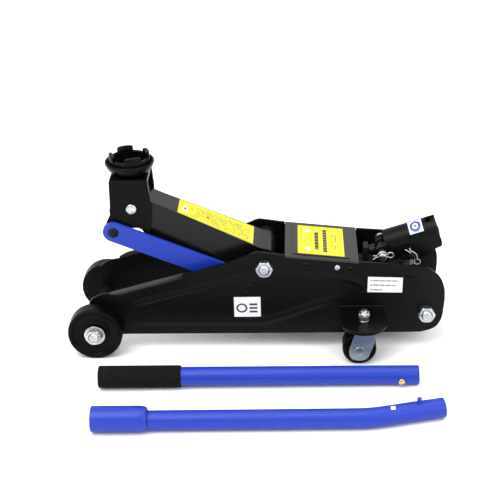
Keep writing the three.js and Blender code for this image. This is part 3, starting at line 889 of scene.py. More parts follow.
def bezier(points, steps=10):
    """A smooth path through points (Catmull-Rom)."""
    path = []
    whole = [points[0], *points, points[-1]]
    for i in range(1, len(whole) - 2):
        p0, p1, p2, p3 = (Vector(whole[i + k]) for k in (-1, 0, 1, 2))
        for k in range(steps):
            t = k / steps
            path.append(
                0.5
                * (
                    2 * p1
                    + (p2 - p0) * t
                    + (2 * p0 - 5 * p1 + 4 * p2 - p3) * t**2
                    + (3 * p1 - p0 - 3 * p2 + p3) * t**3
                )
            )
    path.append(Vector(points[-1]))
    return path


# Middle lines of the two pressed ridges, in X and Z.
LOWER_RIDGE = (
    (44, 39),
    (60, 39),
    (120, 38.6),
    (180, 38),
    (206, 39),
    (230, 46.5),
    (256, 57),
    (280, 64.5),
    (304, 72),
)
UPPER_RIDGE = (
    (42, 61),
    (60, 66),
    (100, 77),
    (130, 85),
    (160, 93),
    (180, 98),
    (196, 96),
    (206, 94),
    (216, 97),
    (228, 102),
    (245, 102),
    (260, 99),
    (285, 96),
    (307, 93),
    (318, 88),
    (325, 79),
)


def side_plate(label, side):
    """Pressed side plate with its holes, turned-out edge, ridges and boss."""
    shape = Shape()
    holes = [
        circle(8.4, AXLE, 32),
        circle(6.4, PIVOT, 32),
        circle(6.4, TIE, 32),
        circle(2.6, COVER_RIVET, 20),
        circle(2.6, (255.7, 113.6), 20),
        circle(2.6, (306.9, 107.6), 20),
        strap((372, 97.6), (382, 97.6), 2.1, sides=8),
    ]
    shape.plate(soften(PLATE_EDGE), holes, standing, PLATE_IN, PLATE_OUT)
    shape.skin(flange_rings())
    rib(shape, bezier(LOWER_RIDGE, 5), 8.0, 1.5)
    rib(shape, bezier(UPPER_RIDGE, 5), 6.0, 1.2)
    boss = dome(7.5, PLATE_OUT - 0.5, 1.8, (0, 0.3, 0.6, 0.9, 1.2, 1.45))
    shape.turned(across(STUD), ACROSS, [(7.5, PLATE_OUT - 1.5)] + boss, 32)
    shape.turned((296, 0, 74), ACROSS, [(3, 31), (3, PLATE_IN + 0.5)], 20)
    shape.mirrored(side).done(f"{label}_side_plate", "black paint", 0.55)


def nut(shape, centre, axis, flats, start, end, bore, turn=0.0):
    """A hexagon nut with chamfered corners, from start to end along its axis."""
    axis, u, v = axes_for(axis)
    centre = Vector(centre)
    angles = [TAU * k / 72 + turn for k in range(72)]
    apothem = flats / 2
    corner = apothem / math.cos(math.pi / 6)

    def at(reach, angle, along):
        return centre + axis * along + u * (reach * math.cos(angle)) + v * (reach * math.sin(angle))

    def ring(limit, along):
        points = []
        for angle in angles:
            fold = (angle % (TAU / 6)) - TAU / 12
            points.append(at(min(apothem / math.cos(fold), limit), angle, along))
        return points

    def hole(radius, along):
        return [at(radius, angle, along) for angle in angles]

    step = 0.12 * (end - start)
    rings = [
        ring(apothem * 0.97, start),
        ring(apothem * 1.04, start + step * 0.35),
        ring(corner, start + step * 1.3),
        ring(corner, end - step * 1.3),
        ring(apothem * 1.04, end - step * 0.35),
        ring(apothem * 0.97, end),
        hole(bore + 0.7, end),
        hole(bore, end - step * 0.8),
        hole(bore, start + step * 0.8),
        hole(bore + 0.7, start),
    ]
    shape.skin(rings, wrap=True)


def washer(shape, centre, axis, radius, bore, start, end):
    """A flat washer with softened rims."""
    rim = 0.25 if end > start else -0.25
    profile = [(bore, start), (radius - 0.3, start), (radius, start + rim)]
    profile += [(radius, end - rim), (radius - 0.3, end), (bore, end)]
    shape.ring(centre, axis, profile)


def threads(radius, root, start, pitch, crest, turns):
    """Profile of a threaded stretch: a crest and a root for each turn."""
    profile = []
    for k in range(turns):
        profile.append((radius, start + pitch * k))
        profile.append((root, start + pitch * k + crest))
    return profile


def both_ways(profile):
    """A shaft profile from one end to the middle, continued to the other end as its mirror."""
    return profile + [(radius, -along) for radius, along in reversed(profile)]


def main_nut(name, centre, flats, start, end, turn, side=1):
    """One large nut of the frame."""
    shape = Shape()
    nut(shape, across(centre), ACROSS, flats, start, end, SHAFT + 0.2, turn)
    shape.mirrored(side).done(name, "zinc")


def axle_nut(label, side, flats):
    """Nut of a front wheel with its washer face."""
    shape = Shape()
    washer(shape, across(AXLE), ACROSS, 12.5, 6.3, 70.9, 72.6)
    nut(shape, across(AXLE), ACROSS, flats, 72.5, 78.6, SHAFT + 0.2, 0.1)
    shape.mirrored(side).done(f"axle_nut_{label}", "zinc")


def pivot_spacer(label, side):
    """Sleeve that keeps the arm off a side plate."""
    shape = Shape()
    profile = [(6.4, 26.9), (10.4, 26.9), (11, 27.5), (11, 43.8), (10.4, 44.4), (6.4, 44.4)]
    shape.ring(across(PIVOT), ACROSS, profile)
    shape.mirrored(side).done(f"pivot_spacer_{label}", "dark steel")


def cover_rivet(label, side):
    """Round-headed rivet of the cover."""
    shape = Shape()
    head = dome(3.3, 47.9, 1.4, (0, 0.25, 0.5, 0.75, 1.0, 1.3))
    profile = [(2.3, 41), (2.3, 47.8), (3.3, 47.8)] + head
    shape.turned(across(COVER_RIVET), ACROSS, profile, 32)
    shape.mirrored(side).done(f"cover_rivet_{label}", "zinc")


def shafts():
    """Pivot shaft, front axle and rear tie bolt, threaded at their ends."""
    shape = Shape()
    half = [(4.6, -59), (5.6, -58.2), *threads(SHAFT, 5.45, -57.6, 1.6, 0.8, 6), (SHAFT, -47.5)]
    shape.turned(across(PIVOT), ACROSS, both_ways(half), 40)
    shape.done("pivot_shaft", "zinc")

    shape = Shape()
    half = [(4.6, -80), (5.6, -79.2), *threads(SHAFT, 5.45, -78.6, 1.5, 0.7, 5)]
    half += [(SHAFT, -70.6), (8, -70.5)]
    shape.turned(across(AXLE), ACROSS, both_ways(half), 40)
    bright_ends(shape.done("front_axle", "dark steel"), 70)

    shape = Shape()
    profile = [(4.6, -61), (5.6, -60.2), *threads(SHAFT, 5.45, -59.6, 1.6, 0.8, 6)]
    profile += [(SHAFT, -48), (SHAFT, -44.5), (8.5, -44.4), (8.5, 44.4), (SHAFT, 44.5), (SHAFT, 48.2)]
    shape.turned(across(TIE), ACROSS, profile, 40)
    nut(shape, across(TIE), ACROSS, 18, 48.1, 55, SHAFT - 0.1, 0.3)
    bright_ends(shape.done("rear_tie_bolt", "dark steel"), 46)


def pivot_hardware(flats):
    """Shafts, spacers, nuts and rivets of the frame."""
    for label, side in SIDES:
        main_nut(f"pivot_nut_{label}", PIVOT, flats, 48.1, 57.3, 0.25, side)
        axle_nut(label, side, flats - 0.9)
        pivot_spacer(label, side)
        cover_rivet(label, side)
    shafts()
    main_nut("rear_nut", TIE, flats, -48.1, -58, 0.4)


def front_wheel(label, side, radius):
    """Cast wheel with a raised rim ring and a dished face."""
    shape = Shape()
    profile = soften(
        [
            (8.4, 50.4),
            (radius - 0.2, 50.4, 2.0),
            (radius, 54, 1.5),
            (radius, 67.5, 3.0),
            (radius - 0.6, 70.4, 2.4),
            (radius - 4.2, 70.6, 1.6),
            (radius - 6.2, 67.6, 2.0),
            (17, 66.0, 3.0),
            (14.5, 68.1, 1.2),
            (8.4, 68.1),
        ],
        steps=5,
    )
    shape.ring(across(AXLE), ACROSS, profile, 128)
    shape.mirrored(side).done(f"front_wheel_{label}", "wheel paint")


CASTER = (323.0, 75.0)
TRAIL = 5.3


def caster_bracket(label, side):
    """Half-moon shelf with its welded lip."""
    shape = Shape()
    shelf = [(294.5, 48.1), (350.5, 48.1), (350.6, 72)]
    shelf += circle(27.6, CASTER, 40, 0.02, math.pi - 0.02) + [(295.4, 72)]
    shape.plate(shelf, [circle(4.3, CASTER, 32)], lying, 47, 52)
    lip = soften([(294.5, 51.5), (350.5, 51.5), (349.5, 59.5, 2), (295.5, 59.5, 2)])
    shape.plate(lip, [], standing, 48.1, 51)
    shape.mirrored(side).done(f"caster_bracket_{label}", "black paint", 1.2, segments=4)


def caster_bolt(label, side):
    """Upright bolt that the fork turns on, and its nut on two spring washers."""
    x, y = CASTER
    shape = Shape()
    profile = [(7.5, 40.6), (7.5, 43.3), (4, 43.4), (4, 56)]
    for k in range(8):
        profile += [(3.5, 56.6 + 1.2 * k), (4.0, 57.2 + 1.2 * k)]
    shape.turned((x, y, 0), UPRIGHT, [*profile, (3.3, 67)], 40)
    shape.mirrored(side).done(f"caster_bolt_{label}", "zinc")

    shape = Shape()
    washer(shape, (x, y, 0), UPRIGHT, 6.2, 4.3, 52.2, 54.4)
    washer(shape, (x, y, 0), UPRIGHT, 5.7, 4.3, 54.4, 57.5)
    nut(shape, (x, y, 0), UPRIGHT, 12.8, 57.4, 64.5, 4.2, 0.2)
    shape.mirrored(side).done(f"caster_nut_{label}", "zinc")


def caster_fork(label, side, axle):
    """Crown with two tapering legs."""
    shape = Shape()
    crown = soften([(311, 59.6, 5), (338, 59.6, 5), (338, 90.4, 5), (311, 90.4, 5)])
    shape.plate(crown, [circle(4.4, CASTER, 32)], lying, 43.6, 46.6)
    front = [(313.5, 46.4, 2), (337, 46.4, 2), (336, 34, 8), (332, 21, 8), (327, 8.4, 8)]
    back = [(317.7, 6.2, 8), (307.5, 8.4, 8), (304.4, 19, 8), (309, 33, 9)]
    for near, far in ((59.5, 61.7), (88.3, 90.5)):
        shape.plate(soften(front + back), [circle(4.3, axle, 24)], standing, near, far)
    shape.mirrored(side).done(f"caster_fork_{label}", "fork zinc", 0.5)


def caster_roller(label, side, axle, radius):
    """Riveted axle and nylon roller."""
    y = CASTER[1]
    shape = Shape()
    end = [(3.2, 17.6), (5.4, 17.4), (6, 16.6), (6, 15.7), (4, 15.6)]
    profile = [(r, y - reach) for r, reach in end]
    profile += [(r, y + reach) for r, reach in reversed(end)]
    shape.turned(across(axle), ACROSS, profile, 40)
    shape.mirrored(side).done(f"caster_axle_{label}", "zinc")

    shape = Shape()
    half = [(4.4, 11), (9, 11, 1), (10, 9.8, 1), (radius - 5, 9.8, 1.5)]
    half += [(radius - 3.6, 11, 1), (radius, 11, 2.5)]
    near = [(r, y - reach, *soft) for r, reach, *soft in half]
    far = [(r, y + reach, *soft) for r, reach, *soft in reversed(half)]
    profile = soften([*near, (radius + 0.1, y, 4), *far], steps=4)
    shape.ring(across(axle), ACROSS, profile, 96)
    shape.mirrored(side).done(f"caster_roller_{label}", "nylon", replaced=f"caster_wheel_{label}")


def caster(label, side, radius):
    """Bracket, bolt, nut, fork, axle and roller of one rear caster."""
    axle = (CASTER[0] - TRAIL, radius)
    caster_bracket(label, side)
    caster_bolt(label, side)
    caster_fork(label, side, axle)
    caster_roller(label, side, axle, radius)


# ---------------------------------------------------------------- lifting pieces


SADDLE_RIM = 29.5
TOOTH_STARTS = (-5.5, 84.5, 174.5, 264.5)
TOOTH_WIDTH = 49
# Turned shape of the cup: stem, underside, rim, groove, inner ring and floor.
CUP = (
    (8, -12.5, 1),
    (8, 0, 0.6),
    (15, 0.1, 1),
    (21, 0.8, 2.5),
    (26, 5, 3),
    (28.9, 11, 3),
    (29.6, 14, 1.2),
    (28.6, 15.4, 1.2),
    (27.0, 14.6, 1.0),
    (25.6, 10.6, 1.0),
    (24.5, 10.6, 0.5),
    (24.4, 18.4, 1.0),
    (22.5, 19.2, 1.0),
    (19.9, 18.6, 1.0),
    (19.4, 4.6, 1.0),
    (1, 4.5),
)


def tooth_section(top):
    """Section of a tooth that stands on the inner ring, up to its rounded top."""
    inner = [(19.8, 17.6), (20.0, top - 1.0), (20.5, top - 0.2), (21.2, top)]
    return inner + [(22.9, top), (23.7, top - 0.3), (24.1, top - 1.1), (24.3, 17.6)]


def saddle(radius):
    """Cast cup with its stem, inner ring and four raised teeth."""
    x, z = SADDLE
    grown = radius / SADDLE_RIM
    shape = Shape()
    profile = soften(CUP, closed=False, steps=4)
    shape.turned((x, 0, z), UPRIGHT, [(r * grown, h) for r, h in profile], 112)
    for start in TOOTH_STARTS:
        rings = []
        for i in range(15):
            a = math.radians(start + TOOTH_WIDTH * i / 14)
            section = tooth_section(25.1 - abs(i / 7 - 1) ** 4)
            reached = [(r * grown, h) for r, h in section]
            rings.append([(x + r * math.cos(a), r * math.sin(a), z + h) for r, h in reached])
        shape.skin(rings)
    shape.done("saddle", "saddle iron", 0.35)


def link(label, side):
    """Flat blue levelling link."""
    shape = Shape()
    outline = strap((26.0, 151.4), (183.2, 84.6), 12.4, 12.0, sides=20)
    shape.plate(outline, [circle(6.1, LINK_PIN, 28), circle(6.1, STUD, 28)], standing, 28, 32.5)
    shape.mirrored(side).done(f"{label}_link", "blue paint", 0.5, segments=3)


def cross_pin(name, centre, radius, reach, paint):
    """Round pin with softly domed ends."""
    shape = Shape()
    end = dome(radius, reach - 1.6, 1.6, (0, 0.3, 0.6, 0.9, 1.15, 1.35))
    profile = [(r, -along) for r, along in reversed(end)] + end
    shape.turned(across(centre), ACROSS, profile, 40)
    shape.done(name, paint)


# ---------------------------------------------------------------- pump and handle socket

SOCKET = (347, 113)
SLOPE = math.radians(18)
SOCKET_FRAME = Matrix.Translation(Vector(across(SOCKET))) @ Matrix.Rotation(-SLOPE, 4, "Y")
PUMP_PIN = (33.5, -10.3)
CLIP_Y = -26.5
CLIP_RISE = 0.9


def wire_clip(name, replaced, centre, pin, turn):
    """Spring-wire clip: a straight leg through the pin, a bowed leg round it, and an eye."""
    straight = [(-12, -1.5), (-6, 0.4), (2, 0.2), (5.6, -1.2)]
    eye = [(9.5 + 3.6 * math.cos(a), 3.6 * math.sin(a)) for a in (TAU * k / 14 for k in range(-5, 6))]
    bowed = [(5.8, 1.6), (3.5, pin + 0.6), (0, pin + 1.3), (-3.6, pin + 0.4), (-7, 2.6), (-11, 4.2)]
    rises = [0.0] * len(straight)
    rises += [CLIP_RISE * k / len(eye) for k in range(len(eye))]
    rises += [CLIP_RISE] * len(bowed)
    c, s = math.cos(turn), math.sin(turn)
    path = [
        (centre[0] + u * c - v * s, CLIP_Y - rise, centre[1] + u * s + v * c)
        for (u, v), rise in zip(straight + eye + bowed, rises)
    ]
    shape = Shape()
    shape.pipe(bezier(path, 6), 0.85, 12)
    shape.done(name, "zinc", replaced=replaced)


def socket_hardware():
    """Pins and clips of the handle socket."""
    washer_face = [(7.5, 6.8, 0.5), (7.5, 8.5, 0.4), (5, 8.6)]
    profile = soften([*washer_face, (5, 29.2, 0.8), (3.9, 30)], closed=False, steps=3)
    for label, side in SIDES:
        shape = Shape()
        shape.turned(across(SOCKET), ACROSS, profile, 40)
        bright_ends(shape.mirrored(side).done(f"socket_pin_{label}", "dark steel"), 16)
    shape = Shape()
    profile = [(2.8, -30), (4, -29.2), (4, 17.3), (6.5, 17.4), (6.5, 20.4), (5.6, 21)]
    shape.turned(across(PUMP_PIN), ACROSS, profile, 40)
    shape.place(SOCKET_FRAME).done("pump_pin", "dark steel")
    wire_clip("front_clip", "r_clip_front", SOCKET, 5, math.radians(12))
    rear = SOCKET_FRAME @ Vector(across(PUMP_PIN))
    wire_clip("rear_clip", "r_clip_rear", (rear.x, rear.z), 4, math.radians(-52))


# ---------------------------------------------------------------- loose handle

BUTTON = (351.8, 0, 0)
BUTTON_LINE = (0, -0.978, -0.208)
UPPER_LENGTH = 372.3
GRIP_LENGTH = 96.5
DROOP = 1.9 / 275.8
UPPER_FRAME = (
    Matrix.Translation(Vector((12.0, -134.2, 13.0 + DROOP * GRIP_LENGTH)))
    @ Matrix.Rotation(math.atan2(4.9, UPPER_LENGTH), 4, "Z")
    @ Matrix.Rotation(math.atan(DROOP), 4, "Y")
)
LOWER_Z = 14.6
LOWER_RADIUS = 11.2
LOWER_RUN = (
    (74, -221.5),
    (130, -220.9),
    (196, -220.3),
    (270, -219.5),
    (300, -219.1),
    (322, -218.2),
    (344, -213.8),
    (372, -206.5),
    (405.7, -198.2),
)


def upper_tube(tube):
    """Plain tube with a thin mouth and a collar round the button."""
    shape = Shape()
    outside = [(tube - 4, 0.2), (tube, 0.2, 0.8), (tube, UPPER_LENGTH, 0.7)]
    mouth = [(tube - 1.6, UPPER_LENGTH, 0.7), (tube - 1.6, 330, 0.5), (tube - 4, 330)]
    shape.ring((0, 0, 0), ALONG, soften(outside + mouth, steps=3), 72)
    collar = [(4.3, 10.2), (5.3, 10.3), (5.2, 11.3), (4.3, 11.4)]
    shape.ring(BUTTON, BUTTON_LINE, collar, 32)
    shape.place(UPPER_FRAME).done("upper_handle_tube", "blue paint")


def foam_grip(tube, grip):
    """Foam sleeve with a faintly uneven skin."""
    shape = Shape()
    profile = [(tube + 0.25, 0.0), (grip - 1.5, 0.0), (grip - 0.4, 0.5), (grip, 1.6)]
    for k in range(1, 60):
        profile.append((grip + 0.10 * math.sin(k * 2.4), 1.6 + k * 1.56))
    profile += [(grip, GRIP_LENGTH - 1.6), (grip - 0.4, GRIP_LENGTH - 0.5)]
    profile += [(grip - 1.5, GRIP_LENGTH), (tube + 0.25, GRIP_LENGTH)]
    shape.ring((0, 0, 0), ALONG, profile, 72)
    shape.place(UPPER_FRAME).done("foam_grip", "foam")


def lock_button():
    """Domed brass button."""
    shape = Shape()
    head = dome(4.0, 12.0, 2.0, (0, 0.25, 0.5, 0.75, 1.0, 1.25, 1.45))
    shape.turned(BUTTON, BUTTON_LINE, [(4.0, 9.9)] + head, 40)
    shape.place(UPPER_FRAME).done("lock_button", "brass")


def lower_handle():
    """Lower tube: flared sleeve, bend near the far end, and a peg on top."""
    shape = Shape()
    path = bezier([(x, y, LOWER_Z - 3.3) for x, y in LOWER_RUN], 8)
    shape.pipe(path, LOWER_RADIUS, 56)
    outside = [(14.4, 15.9, 0.8), (LOWER_Z, 17, 0.6), (LOWER_Z, 71, 2.5), (13.6, 76, 2), (12, 78)]
    inside = [(10.9, 78), (10.9, 66), (11.9, 66)]
    profile = soften([(11.9, 15.9, 0.5), *outside, *inside], steps=3)
    shape.ring((0, -223, LOWER_Z), ALONG, profile, 72)
    peg = [(2.6, 19.6), (2.6, 27.8), (2.1, 28.4), (1.2, 28.6)]
    shape.turned((378, -205.2, 0), UPRIGHT, peg, 28)
    shape.done("lower_handle_tube", "blue paint")


# ---------------------------------------------------------------- springs


def coil_tree():
    """Geometry nodes: wire wound upwards, with its length, turns and radii as inputs."""
    found = bpy.data.node_groups.get("wound wire")
    if found:
        return found
    tree = bpy.data.node_groups.new("wound wire", "GeometryNodeTree")
    for label, kind, value in (
        ("Length", NUMBER, 0.06),
        ("Turns", NUMBER, 10.0),
        ("Radius", NUMBER, 0.004),
        ("Wire", NUMBER, 0.0007),
    ):
        item = tree.interface.new_socket(label, in_out="INPUT", socket_type=kind)
        item.default_value = value
    tree.interface.new_socket("Paint", in_out="INPUT", socket_type="NodeSocketMaterial")
    tree.interface.new_socket("Geometry", in_out="OUTPUT", socket_type="NodeSocketGeometry")
    source = tree.nodes.new("NodeGroupInput")
    target = tree.nodes.new("NodeGroupOutput")
    spiral = tree.nodes.new("GeometryNodeCurveSpiral")
    spiral.inputs["Resolution"].default_value = 20
    ring = tree.nodes.new("GeometryNodeCurvePrimitiveCircle")
    ring.inputs["Resolution"].default_value = 10
    sweep = tree.nodes.new("GeometryNodeCurveToMesh")
    sweep.inputs["Fill Caps"].default_value = True
    real = tree.nodes.new("GeometryNodeRealizeInstances")
    paint = tree.nodes.new("GeometryNodeSetMaterial")
    links = tree.links
    links.new(source.outputs["Length"], spiral.inputs["Height"])
    links.new(source.outputs["Turns"], spiral.inputs["Rotations"])
    links.new(source.outputs["Radius"], spiral.inputs["Start Radius"])
    links.new(source.outputs["Radius"], spiral.inputs["End Radius"])
    links.new(source.outputs["Wire"], ring.inputs["Radius"])
    links.new(spiral.outputs["Curve"], sweep.inputs["Curve"])
    links.new(ring.outputs["Curve"], sweep.inputs["Profile Curve"])
    links.new(sweep.outputs["Mesh"], real.inputs["Geometry"])
    links.new(real.outputs["Geometry"], paint.inputs["Geometry"])
    links.new(source.outputs["Paint"], paint.inputs["Material"])
    links.new(paint.outputs["Geometry"], target.inputs["Geometry"])
    return tree


def wound(name, values):
    """The plain mesh that the wound wire's nodes give for a set of input values."""
    holder = linked(name, bpy.data.meshes.new(name))
    modifier = holder.modifiers.new("wound wire", "NODES")
    modifier.node_group = coil_tree()
    for item in modifier.node_group.interface.items_tree:
        if item.in_out == "INPUT":
            modifier[item.identifier] = values[item.name]
    holder.update_tag()
    graph = bpy.context.evaluated_depsgraph_get()
    data = bpy.data.meshes.new_from_object(holder.evaluated_get(graph))
    bpy.data.objects.remove(holder)
    return data


def coil(name, base, axis, span, turns, radius, wire):
    """One wound spring from a base point along an axis, fixed in place between the two parts it joins.
    """
    steel = material("steel")
    lengths = {"Length": span * MM, "Radius": radius * MM, "Wire": wire * MM}
    data = wound(name, {**lengths, "Turns": float(turns), "Paint": steel})
    turn = Vector(UPRIGHT).rotation_difference(Vector(axis)).to_matrix().to_4x4()
    data.transform(Matrix.Translation(metres(base)) @ turn)
    for polygon in data.polygons:
        polygon.use_smooth = True
    if not data.materials:
        data.materials.append(steel)
    obj = linked(name, data)
    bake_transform(obj)
    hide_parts(name)


# ---------------------------------------------------------------- labels


def sheet_grid(mesh, corners, depth, steps):
    """Rows of (vertex, place on the sheet) pairs over four corner points."""
    ll, lr, ur, ul = (Vector(c) for c in corners)
    normal = (lr - ll).cross(ul - ll).normalized()
    grid = []
    for j in range(steps + 1):
        v = j / steps
        row = []
        for i in range(steps + 1):
            u = i / steps
            point = ll.lerp(lr, u).lerp(ul.lerp(ur, u), v) + normal * depth
            row.append((mesh.verts.new(point), (u, v)))
        grid.append(row)
    return grid


def sheet_label(corners, lift=0.15, steps=8):
    """A thin sheet on its lower left, lower right, upper right and upper left corners."""
    mesh = bmesh.new()
    layer = mesh.loops.layers.uv.new("print")
    low = sheet_grid(mesh, corners, 0.0, steps)
    high = sheet_grid(mesh, corners, lift, steps)

    def face(*points):
        made = mesh.faces.new([point[0] for point in points])
        for loop, point in zip(made.loops, points):
            loop[layer].uv = point[1]

    for j in range(steps):
        for i in range(steps):
            face(high[j][i], high[j][i + 1], high[j + 1][i + 1], high[j + 1][i])
            face(low[j][i], low[j + 1][i], low[j + 1][i + 1], low[j][i + 1])
    rim = [(0, i) for i in range(steps)] + [(j, steps) for j in range(steps)]
    rim += [(steps, i) for i in range(steps, 0, -1)] + [(j, 0) for j in range(steps, 0, -1)]
    for k, (j, i) in enumerate(rim):
        b, a = rim[(k + 1) % len(rim)]
        face(low[j][i], low[b][a], high[b][a], high[j][i])
    return mesh


def finish_label(name, mesh, paint, body):
    """Makes the object of a printed sheet and lets it ride on its body."""
    into_frame(mesh)
    data = bpy.data.meshes.new(name)
    mesh.to_mesh(data)
    mesh.free()
    for polygon in data.polygons:
        polygon.use_smooth = True
    data.set_sharp_from_angle(angle=math.radians(30))
    data.materials.append(material(paint))
    obj = linked(name, data)
    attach(obj, body)


def flat_label(name, corners, paint, body):
    """A printed sheet on four corner points."""
    finish_label(name, sheet_label(corners), paint, body)


def curved_label(name, axis_frame, radius, along, angles, paint, body):
    """A printed sheet wrapped round a tube; along and angles give its extent."""
    mesh = sheet_label([(0, 0, 0), (1, 0, 0), (1, 1, 0), (0, 1, 0)], lift=1.0)
    for vert in mesh.verts:
        u, v, depth = vert.co
        reach = radius + 0.05 + 0.15 * depth
        angle = angles[0] + (angles[1] - angles[0]) * v
        vert.co = axis_frame @ Vector(
            (
                along[0] + (along[1] - along[0]) * u,
                reach * math.cos(angle),
                reach * math.sin(angle),
            )
        )
    bmesh.ops.recalc_face_normals(mesh, faces=mesh.faces[:])
    finish_label(name, mesh, paint, body)


def cover_label():
    """Sheet on the cover's raised panel."""
    corners = ((301, -39.5), (301, 37.5), (245.5, 37.5), (245.5, -39.5))
    slope = 7.2 / 68
    points = [(x, y, 126.25 - (x - 239) * slope) for x, y in corners]
    flat_label("cover_label", points, "cover label", "chassis")


def arm_label():
    """Sheet on the sloping top of the lift arm, widening with it."""
    tilt = math.atan2(66.8, 156.8)
    arm = Matrix.Translation(Vector(across(PIVOT))) @ Matrix.Rotation(tilt, 4, "Y")
    corners = ((118, -18.9), (20, -24.2), (20, 24.2), (118, 18.9))
    rise = 4.7 / 176
    points = [arm @ Vector((-u, y, 11.66 + (u - 10) * rise)) for u, y in corners]
    flat_label("arm_label", points, "arm label", "arm")


def plate_label(name, corners, paint):
    """Sheet on the near side plate, from corners in X and Z."""
    points = [(x, -PLATE_OUT - 0.05, z) for x, z in corners]
    flat_label(name, points, paint, "chassis")


def labels():
    """Printed sheets, with plain marks in place of any wording."""
    cover_label()
    arm_label()
    plate_label("pictogram_label", ((168, 41), (200, 41), (200, 71), (168, 71)), "pictogram label")
    plate_label("text_label", ((328, 76.4), (369.6, 75.4), (370, 95.4), (328.6, 97)), "text label")
    curved_label(
        "socket_label",
        SOCKET_FRAME @ Matrix.Translation(Vector((0, 0, 3))),
        17.0,
        (38.6, 55.4),
        (math.radians(150), math.radians(84)),
        "round label",
        "socket",
    )
    curved_label(
        "tube_label",
        Matrix.Translation(Vector((0, -213, LOWER_Z - 3.3))),
        LOWER_RADIUS,
        (346, 351),
        (math.radians(115), math.radians(88)),
        "tiny label",
        "lower_handle",
    )


# ---------------------------------------------------------------- stage

FLOOR = 14.0
CAMERA_AT = (247.4, -1391.9, 800.1)
CAMERA_AZIMUTH = math.radians(-2.482)
CAMERA_DOWN = math.radians(26.338)
CAMERA_ROLL = math.radians(-1.658)
CAMERA_LENS = 91.596


def camera():
    """Camera at the catalogue view: almost square to the near side, a little from above."""
    level = Vector((math.sin(CAMERA_AZIMUTH), math.cos(CAMERA_AZIMUTH), 0))
    forward = level * math.cos(CAMERA_DOWN) - Vector(UPRIGHT) * math.sin(CAMERA_DOWN)
    right = Vector((level.y, -level.x, 0))
    up = right.cross(forward)
    cosine, sine = math.cos(CAMERA_ROLL), math.sin(CAMERA_ROLL)
    data = bpy.data.cameras.new("camera")
    data.sensor_width = 36.0
    data.lens = CAMERA_LENS
    data.clip_start, data.clip_end = 0.05, 50.0
    obj = linked("camera", data)
    axes = (right * cosine + up * sine, up * cosine - right * sine, -forward)
    turn = Matrix(axes).transposed().to_4x4()
    obj.matrix_world = Matrix.Translation(metres(CAMERA_AT)) @ turn
    bpy.context.scene.camera = obj


def area_light(name, place, target, size, power):
    """A soft white rectangular lamp that faces its target."""
    data = bpy.data.lights.new(name, "AREA")
    data.shape = "RECTANGLE"
    data.size, data.size_y = size
    data.energy = power
    obj = linked(name, data)
    obj.location = place
    aim = Vector(target) - Vector(place)
    obj.rotation_euler = aim.to_track_quat("-Z", "Y").to_euler()


def floor():
    """Wide pale floor with a faint unevenness."""
    mesh = bmesh.new()
    corners = ((-FLOOR, -FLOOR), (FLOOR, -FLOOR), (FLOOR, FLOOR), (-FLOOR, FLOOR))
    mesh.faces.new([mesh.verts.new((x, y, -0.0002)) for x, y in corners])
    data = bpy.data.meshes.new("floor")
    mesh.to_mesh(data)
    mesh.free()
    made, tree, surface = shader("floor")
    uneven = node(tree, "ShaderNodeGroup", node_tree=speckle())
    uneven.inputs["Fine Scale"].default_value = 40.0
    uneven.inputs["Roughness"].default_value = 0.75
    uneven.inputs["Variation"].default_value = 0.08
    tree.links.new(uneven.outputs["Roughness"], surface.inputs["Roughness"])
    surface.inputs["Base Color"].default_value = (0.93, 0.93, 0.93, 1)
    surface.inputs["Specular IOR Level"].default_value = 0.25
    data.materials.append(made)
    linked("floor", data)


def studio():
    """Camera, floor, soft lamps and an even pale surround."""
    camera()
    floor()
    area_light("key", (-0.9, -0.9, 1.9), (0, 0, 0.05), (1.6, 1.2), 28)
    area_light("fill", (1.6, -1.3, 1.1), (0, 0, 0.1), (1.4, 1.4), 14)
    area_light("top", (0.1, -0.2, 2.2), (0, 0, 0.05), (2.2, 1.8), 26)
    world = bpy.data.worlds.new("surround")
    world.use_nodes = True
    background = world.node_tree.nodes["Background"]
    background.inputs["Color"].default_value = (1, 1, 1, 1)
    background.inputs["Strength"].default_value = 1.0
    bpy.context.scene.world = world
    bpy.context.scene.view_settings.view_transform = "Standard"


# ---------------------------------------------------------------- operators


class JACK_OT_frame(bpy.types.Operator):
    """Side plates, cover, shafts, nuts and washers"""

    bl_idname = "jack.frame"
    bl_label = "Frame"

    def execute(self, context):
        for label, side in SIDES:
            side_plate(label, side)
            refined(f"link_stud_{label}", "dark steel", 0.3)
        refined("cover_plate", "cover paint", 0.7, 3)
        pivot_hardware(context.scene.jack_sizes.nut_flats)
        expect("left_side_plate", "right_side_plate", "cover_plate")
        expect("pivot_shaft", "front_axle", "rear_tie_bolt", "rear_nut")
        return {"FINISHED"}


class JACK_OT_wheels(bpy.types.Operator):
    """Front wheels and rear casters"""

    bl_idname = "jack.wheels"
    bl_label = "Wheels"

    def execute(self, context):
        sizes = context.scene.jack_sizes
        for label, side in SIDES:
            front_wheel(label, side, sizes.wheel_radius)
            caster(label, side, sizes.caster_radius)
            expect(f"front_wheel_{label}", f"caster_fork_{label}", f"caster_wheel_{label}")
        return {"FINISHED"}


class JACK_OT_lift(bpy.types.Operator):
    """Lift arm, saddle bracket, saddle, pins and levelling links"""

    bl_idname = "jack.lift"
    bl_label = "Lifting parts"

    def execute(self, context):
        refined("lift_arm", "arm paint", 1.8, 4)
        refined("saddle_bracket", "bracket paint", 1.6, 3)
        cross_pin("head_pin", HEAD_PIN, 6.4, 28, "zinc")
        cross_pin("link_pin", LINK_PIN, 5.8, 34.4, "dark steel")
        refined("ram_pin", "steel", 0.5)
        saddle(context.scene.jack_sizes.saddle_radius)
        for label, side in SIDES:
            link(label, side)
        expect("lift_arm", "saddle_bracket", "saddle", "head_pin", "left_link", "right_link")
        return {"FINISHED"}


